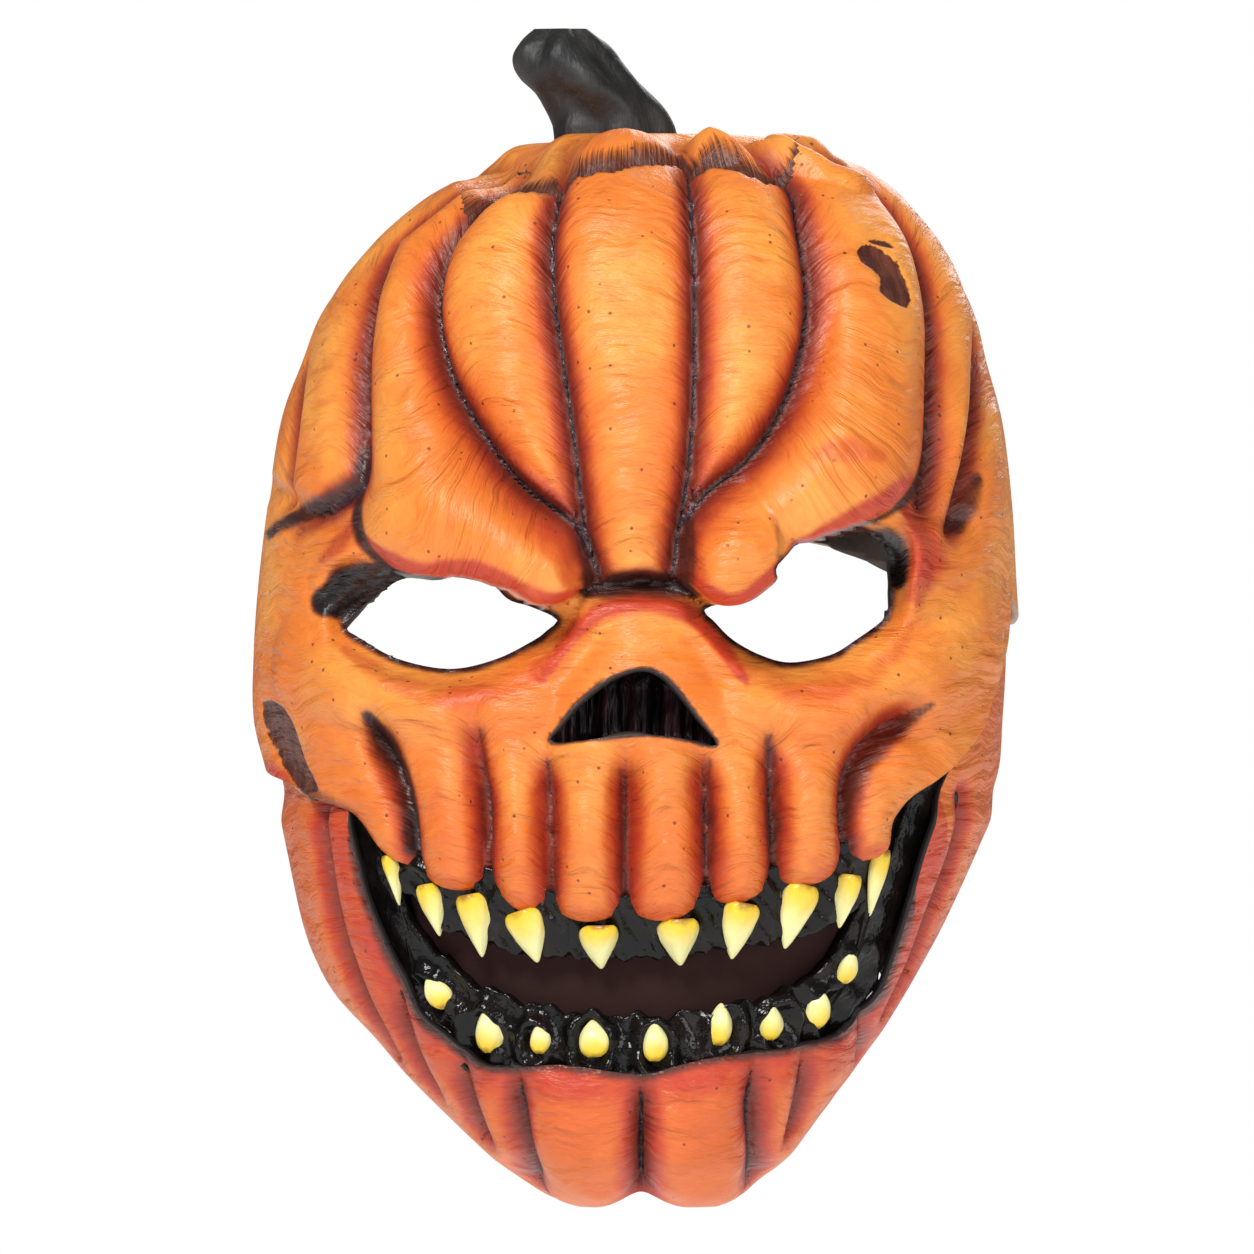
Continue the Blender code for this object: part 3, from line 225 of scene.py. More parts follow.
# Grooves between the ribs. Each point is x, z, depth seen from the front; spread is how far each side of the
# groove falls in; back is True where the groove runs over the back of the head.
FACE_GROOVES = grooves(RIB_DEPTH, RIB_SPREAD, [
    # name, spread, back, points
    ("centre_left", 0.95, False, [
        (-0.166, 0.004, 0.20), (-0.199, 0.043, 0.50), (-0.224, 0.088, 0.80), (-0.216, 0.147, 0.90),
        (-0.191, 0.203, 0.90), (-0.166, 0.260, 0.90), (-0.141, 0.328, 0.90), (-0.124, 0.375, 0.90),
        (-0.091, 0.405, 0.60)]),
    ("centre_right", 0.95, False, [
        (0.116, 0.004, 0.20), (0.149, 0.031, 0.50), (0.166, 0.096, 0.80), (0.170, 0.171, 0.90),
        (0.166, 0.245, 0.90), (0.149, 0.316, 0.90), (0.124, 0.369, 0.90), (0.108, 0.405, 0.60)]),
    ("second_left", 1.00, False, [
        (-0.282, 0.004, 0.20), (-0.423, 0.058, 0.60), (-0.523, 0.102, 0.90), (-0.548, 0.162, 1.00),
        (-0.506, 0.218, 1.00), (-0.407, 0.277, 1.00), (-0.290, 0.325, 0.90), (-0.166, 0.358, 0.80),
        (-0.124, 0.387, 0.60)]),
    ("second_right", 1.00, False, [
        (0.249, 0.004, 0.20), (0.415, 0.031, 0.60), (0.465, 0.079, 0.90), (0.490, 0.138, 1.00),
        (0.473, 0.194, 1.00), (0.407, 0.254, 1.00), (0.315, 0.298, 0.90), (0.199, 0.331, 0.80),
        (0.133, 0.364, 0.60)]),
    ("third_left", 1.00, False, [
        (-0.349, 0.013, 0.20), (-0.548, 0.067, 0.50), (-0.647, 0.096, 0.70), (-0.705, 0.144, 0.80),
        (-0.730, 0.203, 0.80), (-0.730, 0.269, 0.80), (-0.730, 0.316, 0.70), (-0.780, 0.340, 0.50),
        (-0.880, 0.361, 0.30)]),
    ("third_right", 1.00, False, [
        (0.415, 0.013, 0.20), (0.622, 0.037, 0.50), (0.714, 0.067, 0.70), (0.780, 0.108, 0.80),
        (0.813, 0.168, 0.80), (0.813, 0.245, 0.80), (0.805, 0.298, 0.80), (0.772, 0.340, 0.60)]),
    ("fourth_right", 0.80, False, [
        (0.805, 0.079, 0.20), (0.896, 0.156, 0.50), (0.921, 0.233, 0.70), (0.905, 0.298, 0.80),
        (0.871, 0.343, 0.70), (0.846, 0.364, 0.50)]),
    ("fourth_left", 0.80, False, [
        (-0.763, 0.120, 0.20), (-0.863, 0.203, 0.40), (-0.896, 0.274, 0.50), (-0.913, 0.334, 0.30)]),
    ("back_centre", 1.20, True, [
        (0.0, 0.001, 0.20), (0.0, 0.067, 0.60), (0.0, 0.185, 0.80), (0.0, 0.358, 0.60)]),
    ("back_left", 1.20, True, [
        (-0.166, 0.004, 0.20), (-0.382, 0.067, 0.60), (-0.465, 0.185, 0.80), (-0.481, 0.369, 0.60)]),
    ("back_right", 1.20, True, [
        (0.166, 0.004, 0.20), (0.415, 0.067, 0.60), (0.498, 0.185, 0.80), (0.515, 0.375, 0.60)]),
    ("side_left", 1.10, True, [
        (-0.365, 0.013, 0.20), (-0.631, 0.091, 0.50), (-0.797, 0.203, 0.70), (-0.830, 0.393, 0.50)]),
    ("side_right", 1.10, True, [
        (0.415, 0.013, 0.20), (0.714, 0.091, 0.50), (0.863, 0.203, 0.70), (0.896, 0.393, 0.50)]),
    ("lip_1", 0.65, False, [
        (-0.697, 0.542, 0.20), (-0.639, 0.586, 0.80), (-0.598, 0.631, 0.80), (-0.581, 0.678, 0.65)]),
    ("lip_2", 0.65, False, [
        (-0.423, 0.542, 0.20), (-0.398, 0.601, 0.80), (-0.390, 0.648, 0.80), (-0.390, 0.699, 0.65)]),
    ("lip_3", 0.65, False, [
        (-0.224, 0.571, 0.20), (-0.220, 0.625, 0.80), (-0.220, 0.672, 0.80), (-0.220, 0.720, 0.65)]),
    ("lip_4", 0.65, False, [
        (-0.017, 0.574, 0.20), (-0.017, 0.625, 0.80), (-0.017, 0.672, 0.80), (-0.017, 0.723, 0.65)]),
    ("lip_5", 0.65, False, [
        (0.183, 0.571, 0.20), (0.195, 0.619, 0.80), (0.199, 0.666, 0.80), (0.199, 0.714, 0.65)]),
    ("lip_6", 0.65, False, [
        (0.357, 0.553, 0.20), (0.373, 0.607, 0.80), (0.382, 0.648, 0.80), (0.382, 0.696, 0.65)]),
    ("lip_7", 0.70, False, [
        (0.747, 0.530, 0.20), (0.656, 0.553, 0.80), (0.589, 0.583, 0.90), (0.573, 0.625, 0.90),
        (0.581, 0.678, 0.65)]),
    ("nose_fold", 0.40, False, [
        (-0.108, 0.426, 0.20), (-0.050, 0.417, 0.40), (0.025, 0.414, 0.50), (0.100, 0.417, 0.40),
        (0.158, 0.429, 0.20)]),
    ("left_temple", 0.45, False, [
        (-0.730, 0.316, 0.50), (-0.797, 0.337, 0.50), (-0.880, 0.355, 0.30)]),
])
JAW_GROOVES = grooves(JAW_RIB_DEPTH, JAW_RIB_SPREAD, [
    # name, spread, back, points
    ("chin_middle", 1.00, False, [
        (0.021, 0.865, 0.14), (0.025, 0.898, 0.71), (0.025, 0.942, 1.00), (0.025, 0.996, 1.00)]),
    ("chin_left", 0.94, False, [
        (-0.299, 0.862, 0.14), (-0.315, 0.898, 0.71), (-0.310, 0.936, 0.86), (-0.285, 0.966, 0.86),
        (-0.270, 0.985, 0.50)]),
    ("chin_right", 0.94, False, [
        (0.332, 0.847, 0.14), (0.332, 0.898, 0.71), (0.349, 0.939, 0.86), (0.345, 0.962, 0.86),
        (0.340, 0.980, 0.50)]),
    ("outer_left", 0.76, False, [
        (-0.448, 0.856, 0.14), (-0.448, 0.892, 0.57), (-0.407, 0.933, 0.71)]),
    ("outer_right", 0.76, False, [
        (0.456, 0.847, 0.14), (0.465, 0.886, 0.57), (0.440, 0.927, 0.71)]),
    ("side_left", 0.76, False, [
        (-0.622, 0.785, 0.14), (-0.606, 0.838, 0.57), (-0.539, 0.886, 0.57)]),
    ("side_right", 0.76, False, [
        (0.606, 0.809, 0.14), (0.622, 0.856, 0.57), (0.548, 0.892, 0.43)]),
    ("arm_left", 0.59, False, [
        (-0.830, 0.625, 0.43), (-0.805, 0.696, 0.57), (-0.772, 0.749, 0.57), (-0.714, 0.803, 0.57),
        (-0.639, 0.850, 0.43)]),
    ("arm_right", 0.59, False, [
        (0.888, 0.619, 0.43), (0.855, 0.666, 0.57), (0.797, 0.720, 0.57), (0.747, 0.767, 0.57),
        (0.680, 0.815, 0.43)]),
])

# Eye holes and nose hole seen from the front.
LEFT_EYE = seen([
    (-0.747, 0.455), (-0.718, 0.441), (-0.676, 0.429), (-0.598, 0.411), (-0.498, 0.408), (-0.394, 0.405),
    (-0.324, 0.429), (-0.266, 0.436), (-0.195, 0.448), (-0.220, 0.458), (-0.253, 0.467), (-0.353, 0.485),
    (-0.473, 0.494), (-0.606, 0.485), (-0.701, 0.467),
])
RIGHT_EYE = seen([
    (0.191, 0.438), (0.307, 0.427), (0.373, 0.407), (0.382, 0.383), (0.515, 0.374), (0.606, 0.368),
    (0.664, 0.387), (0.672, 0.420), (0.664, 0.439), (0.647, 0.450), (0.581, 0.467), (0.515, 0.481),
    (0.411, 0.488), (0.332, 0.481), (0.261, 0.467), (0.216, 0.451),
])
NOSE_HOLE = seen([
    (0.021, 0.494), (-0.058, 0.503), (-0.137, 0.524), (-0.187, 0.546), (-0.212, 0.562), (-0.083, 0.558),
    (0.021, 0.555), (0.124, 0.558), (0.220, 0.565), (0.178, 0.542), (0.124, 0.516), (0.075, 0.499),
])


# Teeth: root x and z, tip x and z, width and thickness.
UPPER_TEETH = teeth([
    # root x, z, tip x, z, width, thickness
    (-0.6639, 0.6677, -0.6373, 0.7136, 0.42, 0.72),
    (-0.5602, 0.6944, -0.5270, 0.7418, 0.66, 0.92),
    (-0.4440, 0.7033, -0.4108, 0.7611, 0.82, 1.00),
    (-0.3029, 0.7181, -0.2589, 0.7659, 0.92, 1.00),
    (-0.0871, 0.7315, -0.0846, 0.7718, 0.94, 1.00),
    (0.1286, 0.7255, 0.1328, 0.7688, 1.00, 1.00),
    (0.3029, 0.7107, 0.2739, 0.7629, 0.89, 1.00),
    (0.4689, 0.6944, 0.4199, 0.7534, 0.88, 1.00),
    (0.5959, 0.6855, 0.5693, 0.7344, 0.68, 0.92),
    (0.6805, 0.6617, 0.6523, 0.7240, 0.51, 0.76),
])
LOWER_TEETH = teeth([
    # root x, z, tip x, z, width, thickness
    (-0.5079, 0.8080, -0.5577, 0.7807, 0.63, 0.84),
    (-0.3934, 0.8501, -0.4033, 0.8104, 0.71, 0.88),
    (-0.2539, 0.8507, -0.2556, 0.8223, 0.52, 0.84),
    (-0.1046, 0.8537, -0.1095, 0.8193, 0.74, 0.88),
    (0.0614, 0.8573, 0.0614, 0.8211, 0.62, 0.84),
    (0.2357, 0.8430, 0.2473, 0.8039, 0.62, 0.84),
    (0.3768, 0.8383, 0.3867, 0.8056, 0.62, 0.84),
    (0.5029, 0.8282, 0.5195, 0.7914, 0.66, 0.84),
    (0.5726, 0.7868, 0.6008, 0.7560, 0.54, 0.66),
])
# Stem: height, centre x and y, half width along X and Y.
STEM_RINGS = [
    # up, across, along, wide, deep
    (0.0, 0.0, 0.0, 1.000, 1.000),
    (0.095, -0.033, -0.026, 0.930, 0.921),
    (0.224, -0.135, -0.053, 0.884, 0.868),
    (0.382, -0.321, -0.105, 0.893, 0.842),
    (0.540, -0.544, -0.158, 0.912, 0.821),
    (0.713, -0.712, -0.211, 0.791, 0.789),
    (0.871, -0.777, -0.237, 0.633, 0.663),
    (1.000, -0.805, -0.237, 0.372, 0.421),
]

NOSE_LINING_BOX = (-0.241 * HALF_WIDTH, 0.249 * HALF_WIDTH, CROWN - 0.583 * HEIGHT, CROWN - 0.484 * HEIGHT)


def smooth_rows(table, position):
    """Values of a table at fractional row numbers, along a smooth curve through its rows."""
    rows = np.asarray(table, float)
    last = len(rows) - 1
    position = np.clip(np.asarray(position, float), 0.0, last)
    low = np.minimum(position.astype(int), last - 1)
    share = (position - low)[..., None]
    before = rows[np.maximum(low - 1, 0)]
    first, second = rows[low], rows[low + 1]
    after = rows[np.minimum(low + 2, last)]
    start, end = (second - before) / 2, (after - first) / 2
    square, cube = share ** 2, share ** 3
    return ((2 * cube - 3 * square + 1) * first + (cube - 2 * square + share) * start
            + (3 * square - 2 * cube) * second + (cube - square) * end)


DENSE = np.linspace(0, len(SECTIONS) - 1, 2000)
DENSE_LEVELS = smooth_rows(SECTIONS, DENSE)
PROFILE = np.stack([(DENSE_LEVELS[:, 1] + DENSE_LEVELS[:, 2] + DENSE_LEVELS[:, 3]) / 3, DENSE_LEVELS[:, 0]], 1)
LENGTHS = np.concatenate([[0.0], np.cumsum(np.linalg.norm(np.diff(PROFILE, axis=0), axis=1))])


def row_at_height(z):
    return np.interp(-np.asarray(z, float), -DENSE_LEVELS[:, 0], DENSE)


def signed_power(value, power):
    return np.sign(value) * np.abs(value) ** power


def head_point(azimuth, row, inside=0.0):
    """Point on the smooth outside of the head, or that far inside it. Azimuth in degrees, 0 at the front."""
    level = smooth_rows(SECTIONS, row)
    z, left, right, front, back, middle = (level[..., k] for k in range(6))
    angle = np.radians(azimuth)
    across, along = np.sin(angle), np.cos(angle)
    half = np.where(across >= 0, right, left) - inside
    reach = np.where(along >= 0, front + middle, back - middle) - inside
    x = half * signed_power(across, 2 / FULLNESS)
    y = middle - reach * signed_power(along, 2 / FULLNESS)
    return np.stack([x, y, z * np.ones_like(x)], -1)


def azimuth_of(x, z):
    """Azimuth in degrees of a place on the front half, seen from the front."""
    x, z = np.asarray(x, float), np.asarray(z, float)
    level = smooth_rows(SECTIONS, row_at_height(z))
    half = np.where(x >= 0, level[..., 2], level[..., 1])
    share = np.clip(np.abs(x) / half, 0, 1) ** (FULLNESS / 2)
    return np.sign(x) * np.degrees(np.arcsin(share))


def seen_point(x, z, back=False, inside=0.0):
    angle = azimuth_of(x, z)
    if back:
        angle = np.where(angle >= 0, 180 - angle, -180 - angle)
    return head_point(angle, row_at_height(z), inside)


def edge_heights(points, more_left=(), more_right=()):
    """Table of azimuth and height from points seen from the front plus points given by azimuth."""
    rows = [(float(azimuth_of(x, z)), z) for x, z in points]
    rows += [(float(a), float(z)) for a, z in list(more_left) + list(more_right)]
    rows.sort()
    return np.array(rows)


def height_at(edge, azimuth):
    return np.interp(azimuth, edge[:, 0], edge[:, 1])


def refine(points, steps=4):
    return smooth_rows(points, np.linspace(0, len(points) - 1, (len(points) - 1) * steps + 1))


def nearest_on_path(places, path, values):
    """Distance from each place to a path, and the path's values at the nearest place on it."""
    best = np.full(len(places), 1e9)
    found = np.zeros((len(places), values.shape[1]))
    for first, second, low, high in zip(path[:-1], path[1:], values[:-1], values[1:]):
        along = second - first
        size = max(float(along @ along), 1e-9)
        share = np.clip(((places - first) @ along) / size, 0, 1)
        gap = np.linalg.norm(places - (first + share[:, None] * along), axis=1)
        closer = gap < best
        best = np.where(closer, gap, best)
        found[closer] = (low + share[:, None] * (high - low))[closer]
    return best, found


def inside_outline(x, z, outline):
    """Signed distance to a closed outline seen from the front, positive inside it."""
    ring = np.array(outline, float)
    nearest = np.full(x.shape, 1e9)
    inside = np.zeros(x.shape, bool)
    for (x0, z0), (x1, z1) in zip(ring, np.roll(ring, -1, axis=0)):
        along_x, along_z = x1 - x0, z1 - z0
        share = np.clip(((x - x0) * along_x + (z - z0) * along_z) / (along_x ** 2 + along_z ** 2), 0, 1)
        nearest = np.minimum(nearest, np.hypot(x - x0 - share * along_x, z - z0 - share * along_z))
        crosses = (z0 > z) != (z1 > z)
        slope = (x1 - x0) / (z1 - z0) if z1 != z0 else 0.0
        inside ^= crosses & (x < x0 + (z - z0) * slope)
    return np.where(inside, nearest, -nearest)


def soft_step(value):
    value = np.clip(value, 0, 1)
    return value * value * (3 - 2 * value)


# Grids
FACE_COLUMNS = 250
BACK_DENSITY = 0.16   # columns round the back for each one in the same length of the front
FACE_ROWS = 196
JAW_COLUMNS, JAW_ROWS = 170, 140
JAW_REAR = 98.0
GROOVE_SNAP = 0.42    # points this close to a groove, as a share of the grid's step, move onto it

# Finer relief than the solids have
DEEPER = 1.3          # the grooves' depth against the solids'
JAW_DEEPER = 1.3
BROW_SAG = 0.30       # share of a brow's height by which it also hangs down
LID_DROP = 3.6
LID_RETURN = 3.0      # how far each petal of the lid stands out above its striped side
LID_SIDE = 7.5        # height of the striped side of the lid below its orange top
LID_LEFT, LID_RIGHT = 56.0, 53.0
LIP_CURL = 3.0        # how far the lip's foot turns in
LIP_CURL_HEIGHT = 7.0
LIP_SCALLOP = 3.2     # how far each rib of the lip hangs below the valleys
PATH_CLEAR = 9.0      # rolls die away this close to a deep groove
WRINKLE_BEND = 7.0    # how far the wrinkles across a rib turn down beside its grooves
WRINKLE_REACH = 16.0
BROW_FLOW_BLEND = 4.0  # how softly the wrinkles follow a bend in a brow, in millimetres
EDGE_LEAN = 36.0      # how far a cut's ends lean out at its far side
OFF_TABLE = 500.0     # a height that no place of the head reaches
LIP_END = 92.0        # half width of the scalloped lip
SCALLOP_FADE_FROM, SCALLOP_FADE = 74.0, 8.0
SCALLOP_POWER, SCALLOP_LIFT = 0.7, 0.3
LIP_LINE_STEPS = 12   # points on the lip's foot for each one of its table
GUM_ARM_MORE = 7.0    # degrees that the lower gum runs on past its right arm's end
GUM_ARM_DROP, GUM_ARM_FROM, GUM_ARM_FADE = 14.0, 66.0, 18.0

# Camera: level, straight in front, far enough that the ribs keep the photo's outline
CAMERA_DISTANCE = 8.0
CAMERA_AIM = (-0.0016, -0.06, -0.1509)
FRAME_WIDTH = 0.3934
SENSOR = 36.0
FLOOR = -0.60         # metres
FLOOR_HALF = 7.0

# Paint, as linear colours
PAINT = {
    "top": (0.95, 0.36, 0.06),
    "orange": (0.86, 0.22, 0.030),
    "deep": (0.72, 0.13, 0.020),
    "red": (0.56, 0.040, 0.016),
    "brown": (0.075, 0.016, 0.010),
    "black": (0.012, 0.007, 0.007),
    "purple": (0.045, 0.016, 0.022),
    "wound": (0.17, 0.045, 0.022),
    "rim": (0.50, 0.36, 0.24),
    "inside": (0.20, 0.15, 0.12),
}


PIXEL = 0.3137        # millimetres for one pixel of the photo
PIXEL_CENTRE, PIXEL_TOP = 632.0, 146.0  # the pixel at x = 0 and z = 0


def from_pixels(rows):
    """Places read off the photo, in its pixels, as millimetres seen from the front."""
    return [((px - PIXEL_CENTRE) * PIXEL, (PIXEL_TOP - py) * PIXEL) + tuple(rest) for px, py, *rest in rows]


# Strokes: mask, strength, then centre and half width along each one, in the photo's pixels. The red strokes are
# airbrushed red paint; the dark strokes are dark paint and painted shade along the creases, the lip's valleys and the
# recesses by the eyes, nose and cheeks.
STROKES = [
    ("dark", 1.0, [(584, 592, 5), (610, 586, 11), (640, 583, 12), (670, 586, 11), (696, 592, 5)]),
    ("dark", 0.8, [(578, 524, 5), (588, 560, 10), (590, 590, 7)]),
    ("dark", 0.8, [(692, 518, 5), (686, 560, 10), (684, 590, 7)]),
    ("dark", 1.7, [(326, 602, 12), (346, 596, 24), (372, 584, 20), (396, 574, 9), (440, 572, 4)]),
    ("dark", 0.9, [(349, 446, 3), (349, 490, 6), (358, 528, 7), (376, 556, 6), (404, 573, 4)]),
    ("dark", 0.9, [(944, 420, 3), (938, 458, 6), (922, 487, 8), (896, 505, 7), (862, 523, 5), (800, 548, 4)]),
    ("dark", 0.9, [(354, 462, 5), (346, 484, 8), (322, 502, 9), (296, 512, 8), (268, 534, 5)]),
    ("dark", 1.4, [(838, 552, 4), (868, 546, 10), (888, 548, 15), (896, 580, 8)]),
    ("dark", 0.8, [(986, 475, 3), (978, 505, 6), (966, 528, 7)]),
    ("dark", 1.0, [(366, 716, 6), (384, 748, 14), (400, 790, 11), (406, 850, 8)]),
    ("dark", 0.7, [(932, 704, 4), (892, 736, 10), (862, 775, 11), (854, 820, 10), (858, 862, 7)]),
    ("dark", 0.6, [(480, 730, 5), (482, 800, 9), (484, 880, 8)]),
    ("dark", 0.6, [(548, 760, 5), (550, 820, 8), (552, 895, 8)]),
    ("dark", 0.6, [(622, 770, 5), (622, 830, 8), (624, 900, 8)]),
    ("dark", 0.6, [(708, 760, 5), (710, 820, 9), (710, 895, 8)]),
    ("dark", 0.7, [(770, 735, 5), (776, 800, 9), (778, 880, 8)]),
    ("dark", 0.6, [(300, 792, 6), (330, 806, 12), (362, 840, 8)]),
    ("dark", 0.5, [(770, 498, 3), (779, 530, 5), (778, 560, 5)]),
    ("red", 0.85, [(542, 680, 5), (570, 638, 9), (600, 613, 10), (640, 602, 11), (688, 613, 10), (716, 640, 9),
                   (744, 680, 5)]),
    ("red", 0.5, [(345, 650, 6), (392, 680, 14), (450, 694, 17), (510, 686, 14), (556, 655, 8)]),
    ("red", 0.45, [(722, 655, 6), (765, 684, 13), (830, 692, 15), (885, 664, 12), (908, 626, 8)]),
    ("red", 0.6, [(322, 560, 5), (340, 543, 11), (352, 520, 7)]),
    ("red", 0.7, [(905, 500, 8), (928, 545, 24), (914, 596, 12)]),
    ("red", 0.6, [(520, 498, 8), (556, 526, 18), (574, 566, 14)]),
    ("red", 0.6, [(694, 524, 10), (700, 570, 14), (740, 596, 10)]),
    ("red", 0.95, [(366, 540, 10), (420, 560, 14), (475, 556, 12), (510, 574, 12), (545, 590, 13), (572, 588, 8)]),
    ("red", 0.95, [(696, 570, 9), (735, 588, 12), (774, 562, 10), (840, 516, 14), (905, 478, 14)]),
    ("red", 0.5, [(815, 440, 8), (850, 432, 16), (880, 440, 8)]),
    ("red", 0.8, [(264, 770, 8), (290, 806, 16), (330, 820, 10)]),
    ("red", 0.5, [(400, 870, 10), (520, 905, 16), (640, 918, 16), (780, 896, 16), (880, 850, 10)]),
    ("red", 0.3, [(420, 760, 12), (440, 820, 18), (446, 868, 12)]),
    ("red", 0.3, [(800, 770, 12), (812, 820, 20), (815, 866, 12)]),
]
WOUND = from_pixels([(858, 250), (866, 243), (880, 247), (893, 256), (901, 268), (909, 284), (913, 300), (908, 308),
                     (897, 303), (888, 298), (880, 290), (882, 276), (872, 268), (863, 262)])
WOUND_LIP = from_pixels([(862, 246), (872, 238), (888, 239), (897, 248), (888, 246), (874, 243)])
CHEEK_OPENING = from_pixels([(257, 702), (266, 700), (280, 708), (290, 722), (297, 742), (303, 762), (312, 778),
                             (318, 792), (302, 794), (290, 786), (276, 770), (264, 744), (258, 722)])

# Raised rolls: how square their sides are, then centre, radius and height along each one.
ROLLS = [
    ("left_brow", 0.5, [(385, 300, 45, 2.0), (392, 390, 60, 8.0), (415, 492, 78, 19.5), (470, 512, 70, 19.0),
                        (523, 540, 56, 19.0), (545, 558, 48, 17.0)]),
    ("right_brow", 0.5, [(885, 290, 50, 2.0), (882, 370, 60, 8.5), (868, 438, 74, 19.0), (825, 474, 62, 18.5),
                         (800, 494, 50, 15.0)]),
    ("right_knuckle", 0.5, [(740, 540, 57, 20.0), (728, 550, 56, 20.5)]),
    ("nose_arch", 1.0, [(546, 674, 12, 2.0), (570, 638, 15, 4.0), (600, 613, 17, 6.0), (640, 602, 18, 6.5),
                        (688, 613, 17, 6.0), (716, 640, 15, 4.0), (742, 674, 12, 2.0)]),
    ("nose", 1.0, [(640, 650, 52, 8.0), (640, 700, 88, 11.0), (640, 745, 104, 9.0)]),
    ("nose_lip", 0.8, [(556, 752, 12, 3.0), (600, 744, 18, 5.5), (640, 740, 20, 6.0), (680, 744, 18, 5.5),
                       (712, 752, 12, 3.0)]),
    ("left_cheekbone", 1.0, [(290, 660, 44, 6.0), (350, 696, 38, 7.5), (440, 716, 36, 6.5), (530, 708, 28, 3.5)]),
    ("right_cheekbone", 1.0, [(985, 640, 50, 5.0), (925, 684, 48, 8.5), (840, 712, 38, 7.5), (745, 708, 28, 3.5)]),
    ("right_fold", 0.8, [(900, 505, 14, 3.0), (918, 545, 18, 7.0), (908, 600, 16, 4.0)]),
    ("left_fold", 0.8, [(392, 540, 10, 1.0), (350, 546, 16, 5.0), (318, 580, 16, 4.0)]),
    ("muzzle", 1.2, [(430, 810, 76, 4.0), (632, 822, 92, 5.5), (830, 810, 76, 4.0)]),
    ("lid_centre", 1.0, [(590, 150, 34, 2.5), (625, 146, 36, 3.5), (660, 150, 34, 2.5)]),
    ("lid_right", 1.0, [(715, 148, 36, 6.0), (755, 152, 38, 7.0)]),
    ("lid_far_right", 1.0, [(800, 154, 44, 9.0), (845, 170, 40, 8.0)]),
]
# Dents: centre, half width and half height, turn in degrees, depth.
DENTS = from_pixels([
    (344, 592, 30, 24, 25, 6.0), (890, 556, 22, 22, 10, 6.0), (640, 589, 62, 12, 0, 6.0),
    (968, 524, 24, 14, 30, 4.0), (286, 748, 18, 42, -18, 4.0), (905, 728, 40, 12, 38, 4.0),
    (384, 752, 14, 36, -16, 5.0), (300, 508, 56, 10, 32, 4.0), (856, 430, 10, 6, 10, 1.5),
    (424, 423, 14, 4, 0, 1.2), (508, 158, 42, 24, 0, 6.0),
])
# Top edge of the outer skin in front of the lid.
LID_EDGE = from_pixels([
    (440, 226), (461, 211), (500, 193), (540, 184), (554, 183), (558, 190), (566, 177), (577, 169), (586, 173),
    (596, 170), (614, 171), (629, 166), (660, 160), (684, 155), (690, 166), (698, 165), (712, 162), (736, 169),
    (750, 176), (757, 175), (764, 180), (776, 176), (788, 172), (806, 160), (830, 166),
])
# The gum's upper edge runs on behind the cheeks, up to the ends of the jaw's arms.
GUM_WIDER = 1.06      # its foot lies this much further out than the jaw's edge
GUM_ARM_LEFT = from_pixels([(326, 786), (344, 790), (362, 822), (378, 850)])
GUM_ARM_RIGHT = from_pixels([(905, 846), (925, 800), (945, 770), (966, 752)])
LIP_VALLEYS = [row[3][-1][0] for row in FACE_GROOVES if row[0].startswith("lip_")]


def clear_lights():
    for thing in list(bpy.data.objects):
        if thing.type in {"LIGHT", "CAMERA"}:
            bpy.data.objects.remove(thing, do_unlink=True)


# ---- node helpers


def new_material(name):
    made = bpy.data.materials.new(name)
    made.use_nodes = True
    tree = made.node_tree
    return made, tree, tree.nodes["Principled BSDF"]


def node(tree, kind, sockets=(), **settings):
    made = tree.nodes.new(kind)
    for key, value in settings.items():
        setattr(made, key, value)
    for key, value in dict(sockets).items():
        if isinstance(value, bpy.types.NodeSocket):
            tree.links.new(value, made.inputs[key])
        else:
            made.inputs[key].default_value = value
    return made


def attribute(tree, name, output="Fac"):
    return node(tree, "ShaderNodeAttribute", attribute_name=name, attribute_type="GEOMETRY").outputs[output]


def calc(tree, operation, first, second=None, clamp=False):
    sockets = {0: first}
    if second is not None:
        sockets[1] = second
    return node(tree, "ShaderNodeMath", sockets, operation=operation, use_clamp=clamp).outputs[0]


def fade(tree, value, low, high, start=0.0, end=1.0):
    """Smooth change from start at low to end at high."""
    return node(tree, "ShaderNodeMapRange", {0: value, 1: low, 2: high, 3: start, 4: end},
                interpolation_type="SMOOTHSTEP").outputs[0]


def blend(tree, share, first, second, how="MIX"):
    made = node(tree, "ShaderNodeMix", data_type="RGBA", blend_type=how, clamp_factor=True)
    for socket, value in ((made.inputs[0], share), (made.inputs[6], first), (made.inputs[7], second)):
        if isinstance(value, bpy.types.NodeSocket):
            tree.links.new(value, socket)
        elif isinstance(value, tuple):
            socket.default_value = (*value, 1.0)
        else:
            socket.default_value = value
    return made.outputs[2]


def noise(tree, vector, scale, detail=3.0, rough=0.55, stretch=(1, 1, 1), offset=(0, 0, 0)):
    placed = node(tree, "ShaderNodeMapping", {0: vector, 1: offset, 3: stretch}).outputs[0]
    return node(tree, "ShaderNodeTexNoise",
                {0: placed, "Scale": scale, "Detail": detail, "Roughness": rough}).outputs[0]


def warped(tree, flow, place):
    """Flow coordinates shifted a little by slow noise, so that no wrinkle runs dead straight."""
    drift = node(tree, "ShaderNodeTexNoise", {0: place, "Scale": 34.0, "Detail": 2.0}).outputs["Color"]
    scaled = node(tree, "ShaderNodeVectorMath", {0: drift, 1: (0.006, 0.012, 0.0)}, operation="MULTIPLY").outputs[0]
    return node(tree, "ShaderNodeVectorMath", {0: flow, 1: scaled}, operation="ADD").outputs[0]


def object_places(tree):
    return node(tree, "ShaderNodeTexCoord").outputs["Object"]


